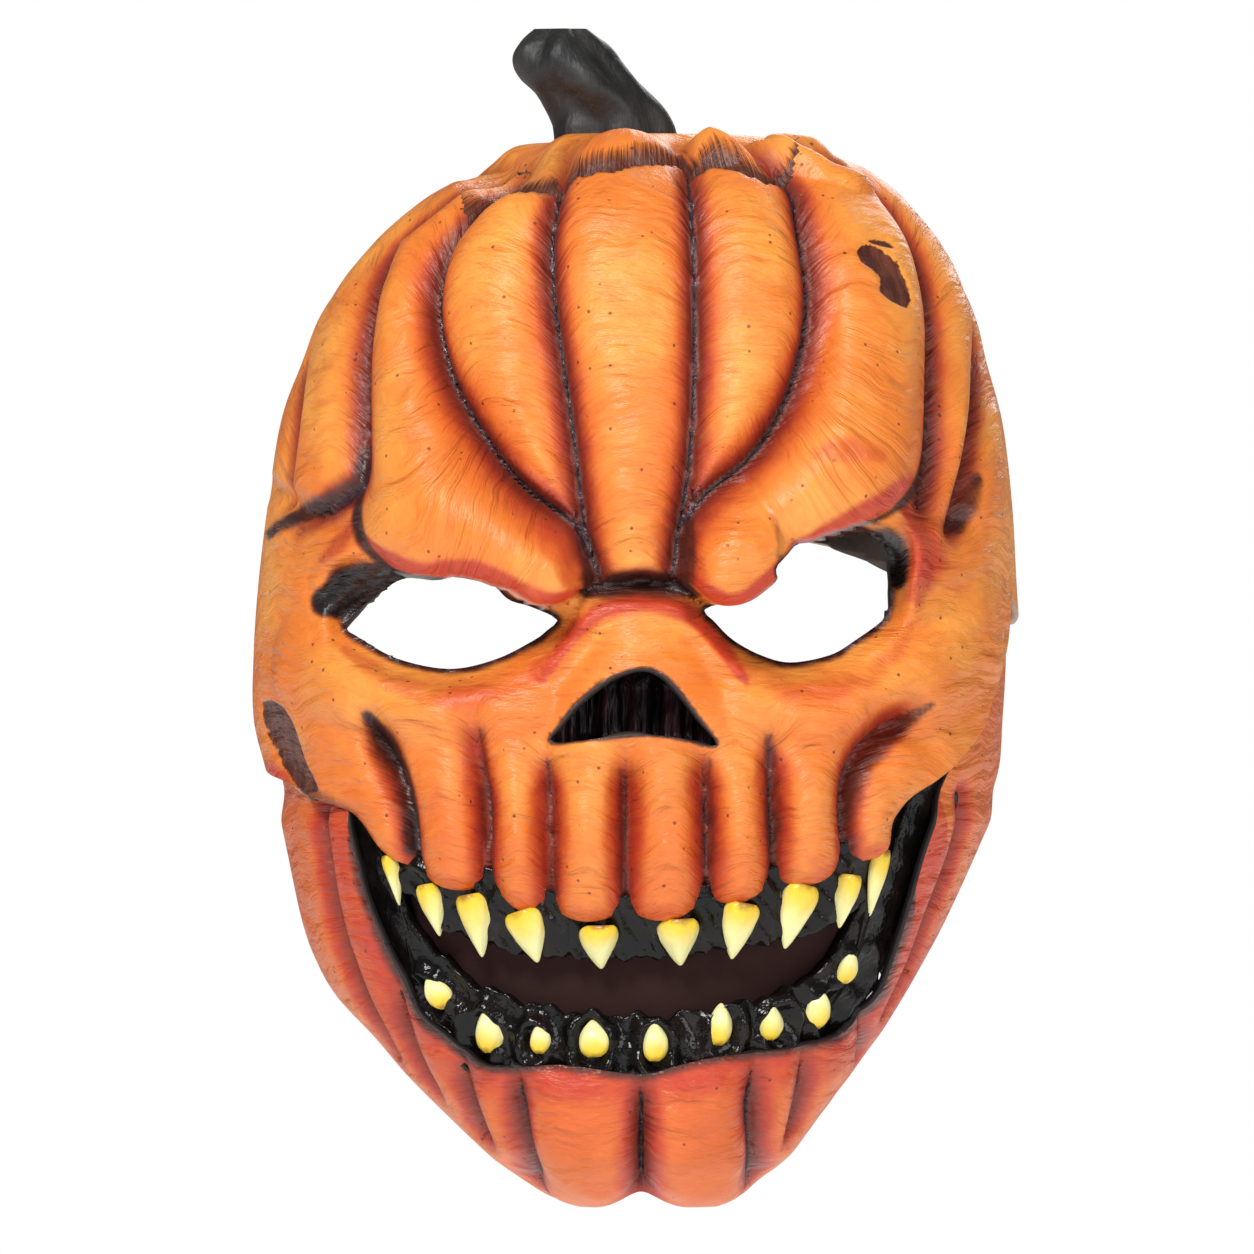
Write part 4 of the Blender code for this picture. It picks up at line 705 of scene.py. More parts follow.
def bump(tree, height, strength, distance, normal=None):
    sockets = {"Height": height, "Strength": strength, "Distance": distance}
    if normal is not None:
        sockets["Normal"] = normal
    return node(tree, "ShaderNodeBump", sockets).outputs[0]


# ---- materials


def latex_paint(name, top, orange, deep):
    """Sprayed latex: pale rib tops, red flanks, dark glossy grooves with brown paint and painted shade spreading beside
    them, dark paint and painted shade in the sockets and folds, fine wrinkles across the ribs with painted shade in
    their troughs and painted highlights on their crests, and specks.
    """
    made, tree, shader = new_material(name)
    place = object_places(tree)
    flow = warped(tree, attribute(tree, "flow", "Vector"), place)
    path_flow = warped(tree, attribute(tree, "brow_flow", "Vector"), place)
    brow = attribute(tree, "brow")
    rib = attribute(tree, "rib")
    red = attribute(tree, "red")
    dark = attribute(tree, "dark")
    gap = calc(tree, "ABSOLUTE", attribute(tree, "gap"))
    broad = attribute(tree, "broad")
    weight = attribute(tree, "weight")
    lid = attribute(tree, "lid")
    wound = attribute(tree, "wound")

    cloud = noise(tree, place, 26.0, 4.0)
    cloud_small = noise(tree, place, 110.0, 4.0)
    wobble = noise(tree, place, 420.0, 3.0)

    # wrinkles: long across the rib, short along it
    plain = noise(tree, flow, 1.0, 4.0, 0.60, (60, 260, 1))
    along = noise(tree, path_flow, 1.0, 4.0, 0.60, (60, 260, 1), (3, 7, 0))
    wrinkle = node(tree, "ShaderNodeMix", {0: brow, 2: plain, 3: along}, data_type="FLOAT").outputs[0]
    crease = noise(tree, flow, 1.0, 2.0, 0.5, (30, 120, 1), (11, 5, 0))
    crease_brow = noise(tree, path_flow, 1.0, 2.0, 0.5, (30, 120, 1), (1, 15, 0))
    crease = node(tree, "ShaderNodeMix", {0: brow, 2: crease, 3: crease_brow}, data_type="FLOAT").outputs[0]

    # base colour: orange tones, deeper down the rib sides and low on the face, red flanks, then painted shade in the
    # wrinkles' troughs and painted highlight on the creases' crests
    shade = blend(tree, fade(tree, cloud, 0.38, 0.66), orange, top)
    shade = blend(tree, fade(tree, rib, 0.45, 0.95, 0.75, 0.0), shade, deep)
    flank = calc(tree, "ADD", red, calc(tree, "MULTIPLY", calc(tree, "SUBTRACT", cloud_small, 0.5), 0.55))
    low = node(tree, "ShaderNodeSeparateXYZ", {0: place}).outputs[2]
    shade = blend(tree, fade(tree, low, -0.12, -0.26, 0.0, 0.55), shade, deep)
    shade = blend(tree, fade(tree, flank, 0.18, 0.80, 0.0, 0.95), shade, PAINT["red"])
    # painted shade: the wrinkles' troughs darkened towards deep orange; painted highlight: the creases' crests
    # lightened towards the top orange
    shade = blend(tree, fade(tree, wrinkle, 0.30, 0.50, 0.38, 0.0), shade, deep)
    shade = blend(tree, fade(tree, crease, 0.62, 0.78, 0.0, 0.25), shade, top)

    # specks
    cells = node(tree, "ShaderNodeTexVoronoi", {"Vector": place, "Scale": 300.0}, feature="F1")
    random = cells.outputs["Color"]
    picked = node(tree, "ShaderNodeSeparateColor", {0: random}).outputs[0]
    speck = calc(tree, "MULTIPLY", fade(tree, cells.outputs["Distance"], 0.10, 0.22, 1.0, 0.0),
                 fade(tree, picked, 0.86, 0.88))
    shade = blend(tree, calc(tree, "MULTIPLY", speck, 0.75), shade, PAINT["brown"])

    # dark paint and painted shade in the grooves, sockets and folds
    edge = calc(tree, "MULTIPLY", calc(tree, "SUBTRACT", wobble, 0.5), 1.4)
    line = calc(tree, "ADD", gap, edge)
    # painted shade: brown spreading out from each groove, fading over about 7 mm
    shadow = calc(tree, "MULTIPLY", fade(tree, calc(tree, "ADD", broad, edge), 0.4, 7.0, 1.0, 0.0), weight)
    near = fade(tree, broad, 2.2, 3.2, 1.0, 0.0)
    core = calc(tree, "MULTIPLY", fade(tree, line, 0.2, 1.0, 1.0, 0.0), calc(
        tree, "MULTIPLY", fade(tree, weight, 0.55, 0.95), near))
    # the dark mask: dark paint and painted shade round the holes and in the creases, valleys and recesses
    darkness = calc(tree, "ADD", dark, calc(tree, "MULTIPLY", calc(tree, "SUBTRACT", cloud_small, 0.5), 0.6))
    patch = fade(tree, darkness, 0.15, 0.85)
    shade = blend(tree, calc(tree, "MULTIPLY", shadow, 0.85, True), shade, PAINT["brown"])
    shade = blend(tree, patch, shade, PAINT["brown"])
    shade = blend(tree, fade(tree, darkness, 0.75, 1.15), shade, PAINT["black"])
    shade = blend(tree, fade(tree, core, 0.25, 0.8), shade, PAINT["purple"])

    torn = calc(tree, "ADD", wound, calc(tree, "MULTIPLY", calc(tree, "SUBTRACT", wobble, 0.5), 1.2))
    torn = fade(tree, torn, -0.15, 0.15)
    streak = noise(tree, flow, 1.0, 3.0, 0.6, (260, 90, 1), (5, 2, 0))
    shade = blend(tree, torn, shade, blend(tree, fade(tree, streak, 0.4, 0.65), PAINT["brown"], PAINT["wound"]))

    # striped side of the lid
    stripes = noise(tree, flow, 1.0, 3.0, 0.6, (620, 30, 1), (2, 9, 0))
    wood = blend(tree, fade(tree, stripes, 0.40, 0.62), PAINT["brown"], PAINT["wound"])
    ragged = calc(tree, "ADD", lid, calc(tree, "MULTIPLY", calc(tree, "SUBTRACT", stripes, 0.5), 14.0))
    side = calc(tree, "MULTIPLY", fade(tree, lid, -0.1, 0.2), fade(tree, ragged, LID_SIDE * 0.8, LID_SIDE * 1.5,
                                                                   1.0, 0.0))
    shade = blend(tree, side, shade, wood)
    tree.links.new(shade, shader.inputs["Base Color"])

    # gloss
    wet = calc(tree, "MAXIMUM", calc(tree, "MULTIPLY", fade(tree, core, 0.2, 0.7), 0.8), calc(
        tree, "MULTIPLY", patch, 0.5))
    rough = node(tree, "ShaderNodeMapRange", {0: cloud_small, 1: 0.3, 2: 0.7, 3: 0.36, 4: 0.50}).outputs[0]
    rough = calc(tree, "SUBTRACT", rough, calc(tree, "MULTIPLY", wet, 0.18))
    tree.links.new(rough, shader.inputs["Roughness"])
    shader.inputs["Specular IOR Level"].default_value = 0.5
    shader.inputs["Subsurface Weight"].default_value = 0.0

    # relief
    grain = noise(tree, place, 900.0, 3.0)
    first = bump(tree, wrinkle, 0.9, 0.0020)
    second = bump(tree, crease, 0.8, 0.0045, first)
    third = bump(tree, speck, 0.5, -0.0006, second)
    beads = calc(tree, "MULTIPLY", fade(tree, line, 0.2, 1.8, 1.0, 0.0),
                 calc(tree, "MULTIPLY", wobble, calc(tree, "MULTIPLY", weight, near)))
    fourth = bump(tree, beads, 0.8, 0.0012, third)
    striped = bump(tree, calc(tree, "MULTIPLY", stripes, side), 0.8, 0.0012, fourth)
    last = bump(tree, grain, 0.18, 0.0004, striped)
    tree.links.new(last, shader.inputs["Normal"])
    return made


def bare_latex(name, colour, spread=0.35):
    made, tree, shader = new_material(name)
    place = object_places(tree)
    cloud = noise(tree, place, 60.0, 4.0)
    darker = tuple(c * (1 - spread) for c in colour)
    shade = blend(tree, fade(tree, cloud, 0.35, 0.65), darker, colour)
    # the dark mask blackens rims and insides too: on the face that is dark paint and painted shade round the holes, on
    # the jaw the black paint along its top edge
    shade = blend(tree, fade(tree, attribute(tree, "dark"), 0.2, 0.6, 0.0, 0.92), shade, PAINT["black"])
    tree.links.new(shade, shader.inputs["Base Color"])
    shader.inputs["Roughness"].default_value = 0.62
    tree.links.new(bump(tree, noise(tree, place, 500.0, 4.0), 0.4, 0.0006), shader.inputs["Normal"])
    return made


def gum_paint(name):
    made, tree, shader = new_material(name)
    place = object_places(tree)
    cloud = noise(tree, place, 90.0, 3.0)
    tree.links.new(blend(tree, fade(tree, cloud, 0.4, 0.75), (0.004, 0.0035, 0.0035), (0.012, 0.007, 0.006)),
                   shader.inputs["Base Color"])
    shader.inputs["Roughness"].default_value = 0.19
    shader.inputs["Specular IOR Level"].default_value = 0.28
    tree.links.new(bump(tree, noise(tree, place, 170.0, 3.0), 0.4, 0.003), shader.inputs["Normal"])
    return made


def tooth_paint(name):
    made, tree, shader = new_material(name)
    place = object_places(tree)
    root = attribute(tree, "root")
    cloud = noise(tree, place, 160.0, 4.0)
    mixed = calc(tree, "ADD", root, calc(tree, "MULTIPLY", calc(tree, "SUBTRACT", cloud, 0.5), 0.5))
    shade = blend(tree, fade(tree, mixed, 0.15, 0.8), (0.91, 0.87, 0.42), (0.90, 0.62, 0.035))
    shade = blend(tree, fade(tree, mixed, 0.80, 1.05), shade, (0.30, 0.11, 0.015))
    tree.links.new(shade, shader.inputs["Base Color"])
    shader.inputs["Roughness"].default_value = 0.33
    tree.links.new(bump(tree, cloud, 0.25, 0.0012), shader.inputs["Normal"])
    return made


def stem_paint(name):
    made, tree, shader = new_material(name)
    place = object_places(tree)
    cloud = noise(tree, place, 45.0, 4.0)
    grain = noise(tree, place, 1.0, 4.0, 0.6, (420, 420, 70))
    shade = blend(tree, fade(tree, cloud, 0.35, 0.7), (0.010, 0.010, 0.010), (0.035, 0.033, 0.031))
    shade = blend(tree, fade(tree, grain, 0.55, 0.75, 0.0, 0.5), shade, (0.06, 0.055, 0.05))
    tree.links.new(shade, shader.inputs["Base Color"])
    shader.inputs["Roughness"].default_value = 0.52
    first = bump(tree, grain, 0.45, 0.0012)
    tree.links.new(bump(tree, cloud, 0.5, 0.003, first), shader.inputs["Normal"])
    return made


def lining_cloth(name):
    made, tree, shader = new_material(name)
    place = object_places(tree)
    sheet_grain = noise(tree, place, 1.0, 2.0, 0.5, (1500, 1500, 1500))
    cloud = noise(tree, place, 40.0, 3.0)
    # painted shade: near-black browns that stand for the mask's inside lying in shade behind the mouth
    tree.links.new(blend(tree, cloud, (0.022, 0.009, 0.008), (0.034, 0.014, 0.012)), shader.inputs["Base Color"])
    shader.inputs["Roughness"].default_value = 0.85
    shader.inputs["Specular IOR Level"].default_value = 0.15
    tree.links.new(bump(tree, sheet_grain, 0.3, 0.0004), shader.inputs["Normal"])
    return made


def nose_skin(name):
    made, tree, shader = new_material(name)
    place = object_places(tree)
    folds = noise(tree, place, 1.0, 3.0, 0.55, (210, 210, 30))
    shade = blend(tree, fade(tree, folds, 0.45, 0.70), (0.004, 0.002, 0.003), (0.050, 0.012, 0.018))
    tree.links.new(shade, shader.inputs["Base Color"])
    shader.inputs["Roughness"].default_value = 0.4
    shader.inputs["Specular IOR Level"].default_value = 0.2
    tree.links.new(bump(tree, folds, 0.8, 0.004), shader.inputs["Normal"])
    return made


# ---- relief, paint and painted shade masks


def round_outline(points, steps=6):
    """Closed outline along a smooth curve through its points."""
    ring = list(points[-2:]) + list(points) + list(points[:2])
    fine = smooth_rows(ring, np.linspace(2, 2 + len(points), len(points) * steps + 1)[:-1])
    return [tuple(p) for p in fine]


LEFT_EYE, RIGHT_EYE, NOSE_HOLE = (round_outline(outline) for outline in (LEFT_EYE, RIGHT_EYE, NOSE_HOLE))


def turned_patch(x, z, row):
    """Share of a soft oval patch at each place."""
    cx, cz, half_x, half_z, turn, strength = row
    angle = math.radians(turn)
    across = ((x - cx) * math.cos(angle) - (z - cz) * math.sin(angle)) / (half_x * PIXEL)
    along = ((x - cx) * math.sin(angle) + (z - cz) * math.cos(angle)) / (half_z * PIXEL)
    return strength * soft_step((1.7 - np.hypot(across, along)) / 1.4)


def rib_side(share):
    """How far a rib's round side falls in, from 1 in the groove to 0 on its top."""
    return 0.6 * (1 - np.sqrt(1 - (1 - share) ** 2)) + 0.4 * (1 - share) ** 2


def path_fields(places, table, step=None):
    """Signed distance to the nearest groove, its depth, the sides' fall, and places snapped onto the grooves."""
    gap, depth, cut, close = np.full(len(places), 1e3), *np.zeros((3, len(places)))
    side = np.ones(len(places))
    target = places.copy()
    for _, spread, back, points in table:
        fine = refine(points)
        path = seen_point(fine[:, 0], fine[:, 1], back)
        values = np.concatenate([fine[:, 2:3], path, np.gradient(path, axis=0)], axis=1)
        distance, found = nearest_on_path(places, path, values)
        cut = np.maximum(cut, DEEPER * found[:, 0] * rib_side(np.clip(distance / spread, 0, 1)))
        near = soft_step(1 - distance / PATH_CLEAR) * np.clip(found[:, 0] / RIDGE_CLEAR_DEPTH, 0, 1)
        close = np.maximum(close, near)
        closer = distance < gap
        gap = np.where(closer, distance, gap)
        depth = np.where(closer, found[:, 0], depth)
        cross = np.cross(found[:, 4:7], places - found[:, 1:4])
        outside = places - np.array([0.0, 0.0, -HEIGHT / 2])
        side = np.where(closer, np.sign(np.sum(cross * outside, axis=1)), side)
        if step is not None:
            target = np.where((closer & (distance < GROOVE_SNAP * step))[:, None], found[:, 1:4], target)
    return gap, depth, cut, close, np.where(side == 0, 1, side), target


def grid_step(grid, closed):
    """Smaller step of a grid at each place, along its rows or its columns."""
    around = np.roll(grid, -1, axis=1) - np.roll(grid, 1, axis=1) if closed else 2 * np.gradient(grid, axis=1)
    down = 2 * np.gradient(grid, axis=0)
    return np.minimum(np.linalg.norm(around, axis=2), np.linalg.norm(down, axis=2)).ravel() / 2


def roll_fields(places):
    """Heights of the brows and of the softer rolls, the brows' share, and how far along a brow each place lies."""
    brow, soft, along, share_of = np.zeros((4, len(places)))
    nearest = np.full(len(places), 1e3)
    for name, power, rows in ROLLS:
        fine = refine(from_pixels(rows))
        path = seen_point(fine[:, 0], fine[:, 1])
        length = np.concatenate([[0.0], np.cumsum(np.linalg.norm(np.diff(path, axis=0), axis=1))])
        distance, found = nearest_on_path(places, path, np.column_stack([fine[:, 2:4], length]))
        share = distance / (found[:, 0] * PIXEL)
        height = found[:, 1] * np.clip(1 - share ** 2, 0, 1) ** power
        if power > 0.5:
            soft = np.maximum(soft, height)
        else:
            brow = np.maximum(brow, height)
        if name.endswith("brow"):
            closer = distance < nearest
            nearest = np.where(closer, distance, nearest)
            apart = np.linalg.norm(places[:, None, :] - path[None, ::2, :], axis=2)
            weight = np.exp((apart.min(axis=1, keepdims=True) - apart) / BROW_FLOW_BLEND)
            along = np.where(closer, (weight * length[::2]).sum(axis=1) / weight.sum(axis=1), along)
            share_of = np.where(closer, soft_step((1.15 - share) / 0.5) * soft_step(found[:, 1] / 6.0), share_of)
    return brow, soft, share_of, along


def scalloped(points):
    """The lip's foot as a fine line with a scallop for each rib."""
    line = np.array(refine(points, LIP_LINE_STEPS))[:, :2]
    valleys = np.array([-LIP_END] + LIP_VALLEYS + [LIP_END])
    slot = np.clip(np.searchsorted(valleys, line[:, 0]) - 1, 0, len(valleys) - 2)
    share = np.clip((line[:, 0] - valleys[slot]) / (valleys[slot + 1] - valleys[slot]), 0, 1)
    fall = np.sin(np.pi * share) ** SCALLOP_POWER - SCALLOP_LIFT
    drop = LIP_SCALLOP * fall * soft_step((SCALLOP_FADE_FROM - np.abs(line[:, 0])) / SCALLOP_FADE)
    return [(x, z - d) for (x, z), d in zip(line, drop)]


def past_edge(line, beyond, sides, sign):
    """Distance past an edge: a line seen from the front, closed at height beyond, and rows by azimuth at the sides."""
    ring = [tuple(row) for row in line] + [(line[-1][0] + EDGE_LEAN, beyond), (line[0][0] - EDGE_LEAN, beyond)]
    ends = [float(azimuth_of(*line[k])) for k in (0, -1)]
    left, right = ([row for row in sides if row[0] < ends[0]], [row for row in sides if row[0] > ends[1]])
    none = sign * OFF_TABLE
    table = np.array(left + [(ends[0], line[0][1]), (ends[0] + 0.01, none), (ends[1] - 0.01, none),
                             (ends[1], line[-1][1])] + right, float)

    def distance(p):
        seen_part = np.where(p[:, 1] < 0, inside_outline(p[:, 0], p[:, 2], ring), -1e3)
        return np.maximum(seen_part, sign * (p[:, 2] - height_at(table, place_azimuth(p))))

    return distance


def above_lid_edge(x, z):
    """How far up the surface each place lies from the top edge of the outer skin."""
    edge = np.interp(x, [p[0] for p in LID_EDGE], [p[1] for p in LID_EDGE])
    there, here = (np.interp(row_at_height(level), DENSE, LENGTHS) for level in (edge, z))
    return there - here


def even_azimuths(count):
    """Azimuths spaced evenly round the front and wider round the back."""
    fine = np.linspace(-180, 180, 7201)
    ring = head_point(fine, row_at_height(-HEIGHT * 0.45))
    step = np.linalg.norm(np.diff(ring, axis=0), axis=1)
    middle = (fine[1:] + fine[:-1]) / 2
    share = BACK_DENSITY + (1 - BACK_DENSITY) * soft_step((112 - np.abs(middle)) / 24)
    total = np.concatenate([[0.0], np.cumsum(step * share)])
    return np.interp(np.arange(count) / count * total[-1], total, fine)


def hole_in(outline):
    return lambda p: np.where(p[:, 1] < 0, inside_outline(p[:, 0], p[:, 2], outline), -1e3)


def cut_away(shape, beyond):
    """Cuts a fine sheet exactly along the line where beyond, positive in the part to remove, is zero."""
    shape.verts.ensure_lookup_table()
    shape.verts.index_update()
    value = beyond(np.array([v.co for v in shape.verts]) / MM)
    state = value > 0
    fresh, faces = set(), set()
    for edge in [e for e in shape.edges if state[e.verts[0].index] != state[e.verts[1].index]]:
        first, second = edge.verts
        low, high = value[first.index], value[second.index]
        faces.update(edge.link_faces)
        fresh.add(bmesh.utils.edge_split(edge, first, float(np.clip(low / (low - high), 0.02, 0.98)))[1])
    for face in faces:
        pair = [v for v in face.verts if v in fresh]
        if len(pair) == 2:
            bmesh.utils.face_split(face, pair[0], pair[1])
    everything = list(shape.faces)
    drop = beyond(np.array([f.calc_center_median() for f in everything]) / MM) > 0
    bmesh.ops.delete(shape, geom=[f for f, out in zip(everything, drop) if out], context="FACES")


def put(mesh, name, values, kind="FLOAT"):
    layer = mesh.attributes.new(name, kind, "POINT")
    flat = np.asarray(values, np.float32).ravel()
    layer.data.foreach_set("vector" if kind == "FLOAT_VECTOR" else "value", flat)


def new_object(name, mesh, paints):
    made = bpy.data.objects.new(name, mesh)
    bpy.context.scene.collection.objects.link(made)
    for paint in paints:
        mesh.materials.append(paint)
    mesh.shade_smooth()
    return made


def mesh_from(name, places, faces):
    mesh = bpy.data.meshes.new(name)
    mesh.from_pydata([tuple(float(v) * MM for v in p) for p in places], [], faces)
    return mesh


def grid_faces(rows, columns, closed, first=0):
    faces = []
    for r in range(rows - 1):
        for c in range(columns if closed else columns - 1):
            after = (c + 1) % columns
            faces.append((first + r * columns + c, first + (r + 1) * columns + c,
                          first + (r + 1) * columns + after, first + r * columns + after))
    return faces


def rows_between(top, foot, share):
    start, end = np.interp(row_at_height(top), DENSE, LENGTHS), np.interp(row_at_height(foot), DENSE, LENGTHS)
    return np.interp(start + (end - start) * share, LENGTHS, DENSE)


def apply_all(made):
    graph = bpy.context.evaluated_depsgraph_get()
    mesh = bpy.data.meshes.new_from_object(made.evaluated_get(graph))
    made.modifiers.clear()
    made.data = mesh


def wall(made):
    """Gives a skin its wall, with a cut rim and a bare inside."""
    thick = made.modifiers.new("wall", "SOLIDIFY")
    thick.thickness = WALL * MM
    thick.offset = -1.0
    thick.use_rim = True
    thick.material_offset = 2
    thick.material_offset_rim = 1
    apply_all(made)
    made.data.shade_smooth()


def face_out(shape, front):
    """Turns a skin's faces outwards; front is the face that is nearest the camera or the sky."""
    bmesh.ops.recalc_face_normals(shape, faces=shape.faces)
    shape.faces.ensure_lookup_table()
    pick = max(shape.faces, key=front)
    away = pick.calc_center_median() - pick.calc_center_median() * 0
    away.z += HEIGHT * MM / 2
    if pick.normal.dot(away) < 0:
        bmesh.ops.reverse_faces(shape, faces=shape.faces)


def face_masks(places, normals, foot):
    """Moves each place of the face's smooth outside to its relief, and gives the masks for the paint and the painted
    shade.
    """
    x, y, z = places.T
    front = soft_step((SIDE_FADE - y) / (2 * SIDE_FADE))
    gap, depth, cut, close, side, _ = path_fields(places, FACE_GROOVES)
    brow, soft, brow_share, along = roll_fields(places)
    brow, soft = brow * front * (1 - close), soft * front * (1 - close)
    covered = soft_step(brow / 3.0)
    rise = brow + soft * (1 - covered)
    socket, rim = np.zeros(len(places)), np.full(len(places), -1e3)
    for outline in (LEFT_EYE, RIGHT_EYE, NOSE_HOLE):
        inside = inside_outline(x, z, outline)
        rim = np.maximum(rim, inside)
        if outline is not NOSE_HOLE:
            socket = np.maximum(socket, soft_step(1 + inside / SOCKET_SLOPE))
    socket = socket * (1 - covered) * front
    dents = np.zeros(len(places))
    for row in DENTS:
        dents = np.maximum(dents, turned_patch(x, z, row) * front)
    above = above_lid_edge(x, z)
    bend = WRINKLE_BEND * np.clip(1 - gap / WRINKLE_REACH, 0, 1) ** 2
    lid_share = soft_step((x + LID_LEFT) / LID_FADE) * soft_step((LID_RIGHT - x) / LID_FADE) * front
    petal = LID_RETURN * (1 - np.clip(cut / 3.0, 0, 1)) * soft_step((x + 32) / 12) + LID_DROP * 0.8
    lid = (LID_DROP * soft_step(above / 1.8 + 0.5) - petal * soft_step((above - 2.0) / LID_SIDE)) * lid_share
    wound = np.maximum(inside_outline(x, z, WOUND), inside_outline(x, z, WOUND_LIP))
    wound = np.maximum(wound, inside_outline(x, z, CHEEK_OPENING)) * front - 9 * (1 - front)
    curl = LIP_CURL * np.clip(1 - (z - foot) / LIP_CURL_HEIGHT, 0, 1) ** 2 * soft_step((96 - np.abs(x)) / 8) * front
    shallow = cut + lid + curl + 1.6 * soft_step(wound / 1.5 + 0.5)
    forward = rise - socket * (SOCKET_DEPTH + soft) - dents * (1 - covered)
    facing = soft_step((-normals[:, 1] - 0.15) / 0.4)[:, None]
    ahead = normals * (1 - facing) + np.array([0.0, -1.0, 0.0]) * facing
    moved = places - normals * shallow[:, None] + ahead * forward[:, None]
    moved[:, 2] -= BROW_SAG * brow * np.clip(brow / RELIEF_HEIGHT, 0, 1)
    masks = {
        "gap": np.clip(gap, 0, 12) * side,
        "broad": np.clip(gap, 0, 12),
        "weight": np.clip(depth / 6.0, 0, 1) * (1 - 0.6 * soft_step((-168 - z) / 12) * front),
        "rib": np.clip(1 - cut / 9.0, 0, 1),
        "red": np.clip((1 - gap / 10.0), 0, 1) * np.clip(depth / 6.0, 0, 1),
        # dark: painted shade and dark paint down the sockets and along the rims of the eye and nose holes
        "dark": np.maximum(socket * soft_step((rim + 4.0) / 4.0), 0.9 * soft_step((rim + 1.6) / 1.6) * front),
        "lid": np.where(lid_share > 0.05, above, -50.0),
        "brow": brow_share * front,
        "wound": np.clip(wound, -9, 9),
    }
    flat = np.column_stack([x, z])
    # dark strokes add dark paint and painted shade to the dark mask, red strokes add red paint to the red mask
    for mask, strength, rows in STROKES:
        fine = np.array(refine(from_pixels(rows)))
        distance, found = nearest_on_path(flat, fine[:, :2], fine[:, 2:3])
        stroke = strength * soft_step((1.9 - distance / (found[:, 0] * PIXEL)) / 1.7) * front
        masks[mask] = np.maximum(masks[mask], stroke)
    arc = np.arctan2(x, -y) * 110.0
    flows = {"flow": np.column_stack([arc, z + bend, np.zeros(len(x))]) * MM,
             "brow_flow": np.column_stack([arc + 0.5 * z, along + 0.4 * bend, np.zeros(len(x))]) * MM}
    return moved, masks, flows


def place_azimuth(places):
    """Azimuth in degrees of places on the smooth head, as head_point takes it."""
    x, y, z = places.T
    level = smooth_rows(SECTIONS, row_at_height(z))
    half = np.where(x >= 0, level[:, 2], level[:, 1])
    along = y - level[:, 5]
    share = np.clip(np.abs(x) / half, 0, 1) ** (FULLNESS / 2)
    angle = np.degrees(np.arcsin(share))
    return np.sign(x) * np.where(along <= 0, angle, 180 - angle)


def base_skin(name, grid, closed, pole, holes, front):
    """Smooth sheet over a grid with its holes cut, and its places and outward directions."""
    rows, columns = grid.shape[:2]
    places = list(grid.reshape(-1, 3))
    faces = grid_faces(rows, columns, closed)
    if pole is not None:
        faces += [(len(places), c, (c + 1) % columns) for c in range(columns)]
        places.append(np.array(pole))
    mesh = mesh_from(name, places, faces)
    shape = bmesh.new()
    shape.from_mesh(mesh)
    for beyond in holes:
        cut_away(shape, beyond)
    face_out(shape, front)
    shape.normal_update()
    shape.to_mesh(mesh)
    normals = np.array([v.normal for v in shape.verts])
    shape.free()
    return mesh, np.array([v.co for v in mesh.vertices]) / MM, normals


def dress(mesh, moved, masks, flows):
    mesh.vertices.foreach_set("co", (moved * MM).astype(np.float32).ravel())
    for key, values in masks.items():
        put(mesh, key, values)
    for key, values in flows.items():
        put(mesh, key, values, "FLOAT_VECTOR")


def settle(made, node_name):
    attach(made, "root")
    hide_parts(node_name)
    return made


def build_face():
    sides = sorted([(-180.0, BACK_EDGE_MIDDLE), (180.0, BACK_EDGE_MIDDLE)] + BACK_EDGE_LEFT + BACK_EDGE_RIGHT)
    line = scalloped(LIP_EDGE)
    past_foot = past_edge(line, -HEIGHT, sides, -1)
    azimuths = even_azimuths(FACE_COLUMNS)
    rows = rows_between(SECTIONS[0][0], min(z for _, z in line) - 1.0, np.linspace(0, 1, FACE_ROWS))
    grid = np.stack([head_point(np.full(FACE_ROWS, a), rows) for a in azimuths], axis=1)
    target = path_fields(grid.reshape(-1, 3), FACE_GROOVES, grid_step(grid, True))[5].reshape(grid.shape)
    grid[8:-1] = target[8:-1]

    holes = [hole_in(outline) for outline in (LEFT_EYE, RIGHT_EYE, NOSE_HOLE)]
    mesh, places, normals = base_skin("face_skin", grid, True, (STEM_X, 0.0, CROWN), [past_foot] + holes,
                                      lambda f: f.calc_center_median().z)
    low = places[:, 2] + np.clip(past_foot(places), -60, 0)
    moved, masks, flows = face_masks(places, normals, low)
    crown = np.hypot(places[:, 0] - STEM_X, places[:, 1] - STEM_Y) < STEM_HALF_DEPTH
    moved[crown, 2] = np.maximum(moved[crown, 2], CROWN - SEAT_GAP)
    dress(mesh, moved, masks, flows)
    made = new_object("face_skin", mesh, [
        latex_paint("face_paint", PAINT["top"], PAINT["orange"], PAINT["deep"]),
        bare_latex("face_rim", PAINT["rim"]), bare_latex("face_inside", PAINT["inside"])])
    wall(made)
    return settle(made, "face_shell")


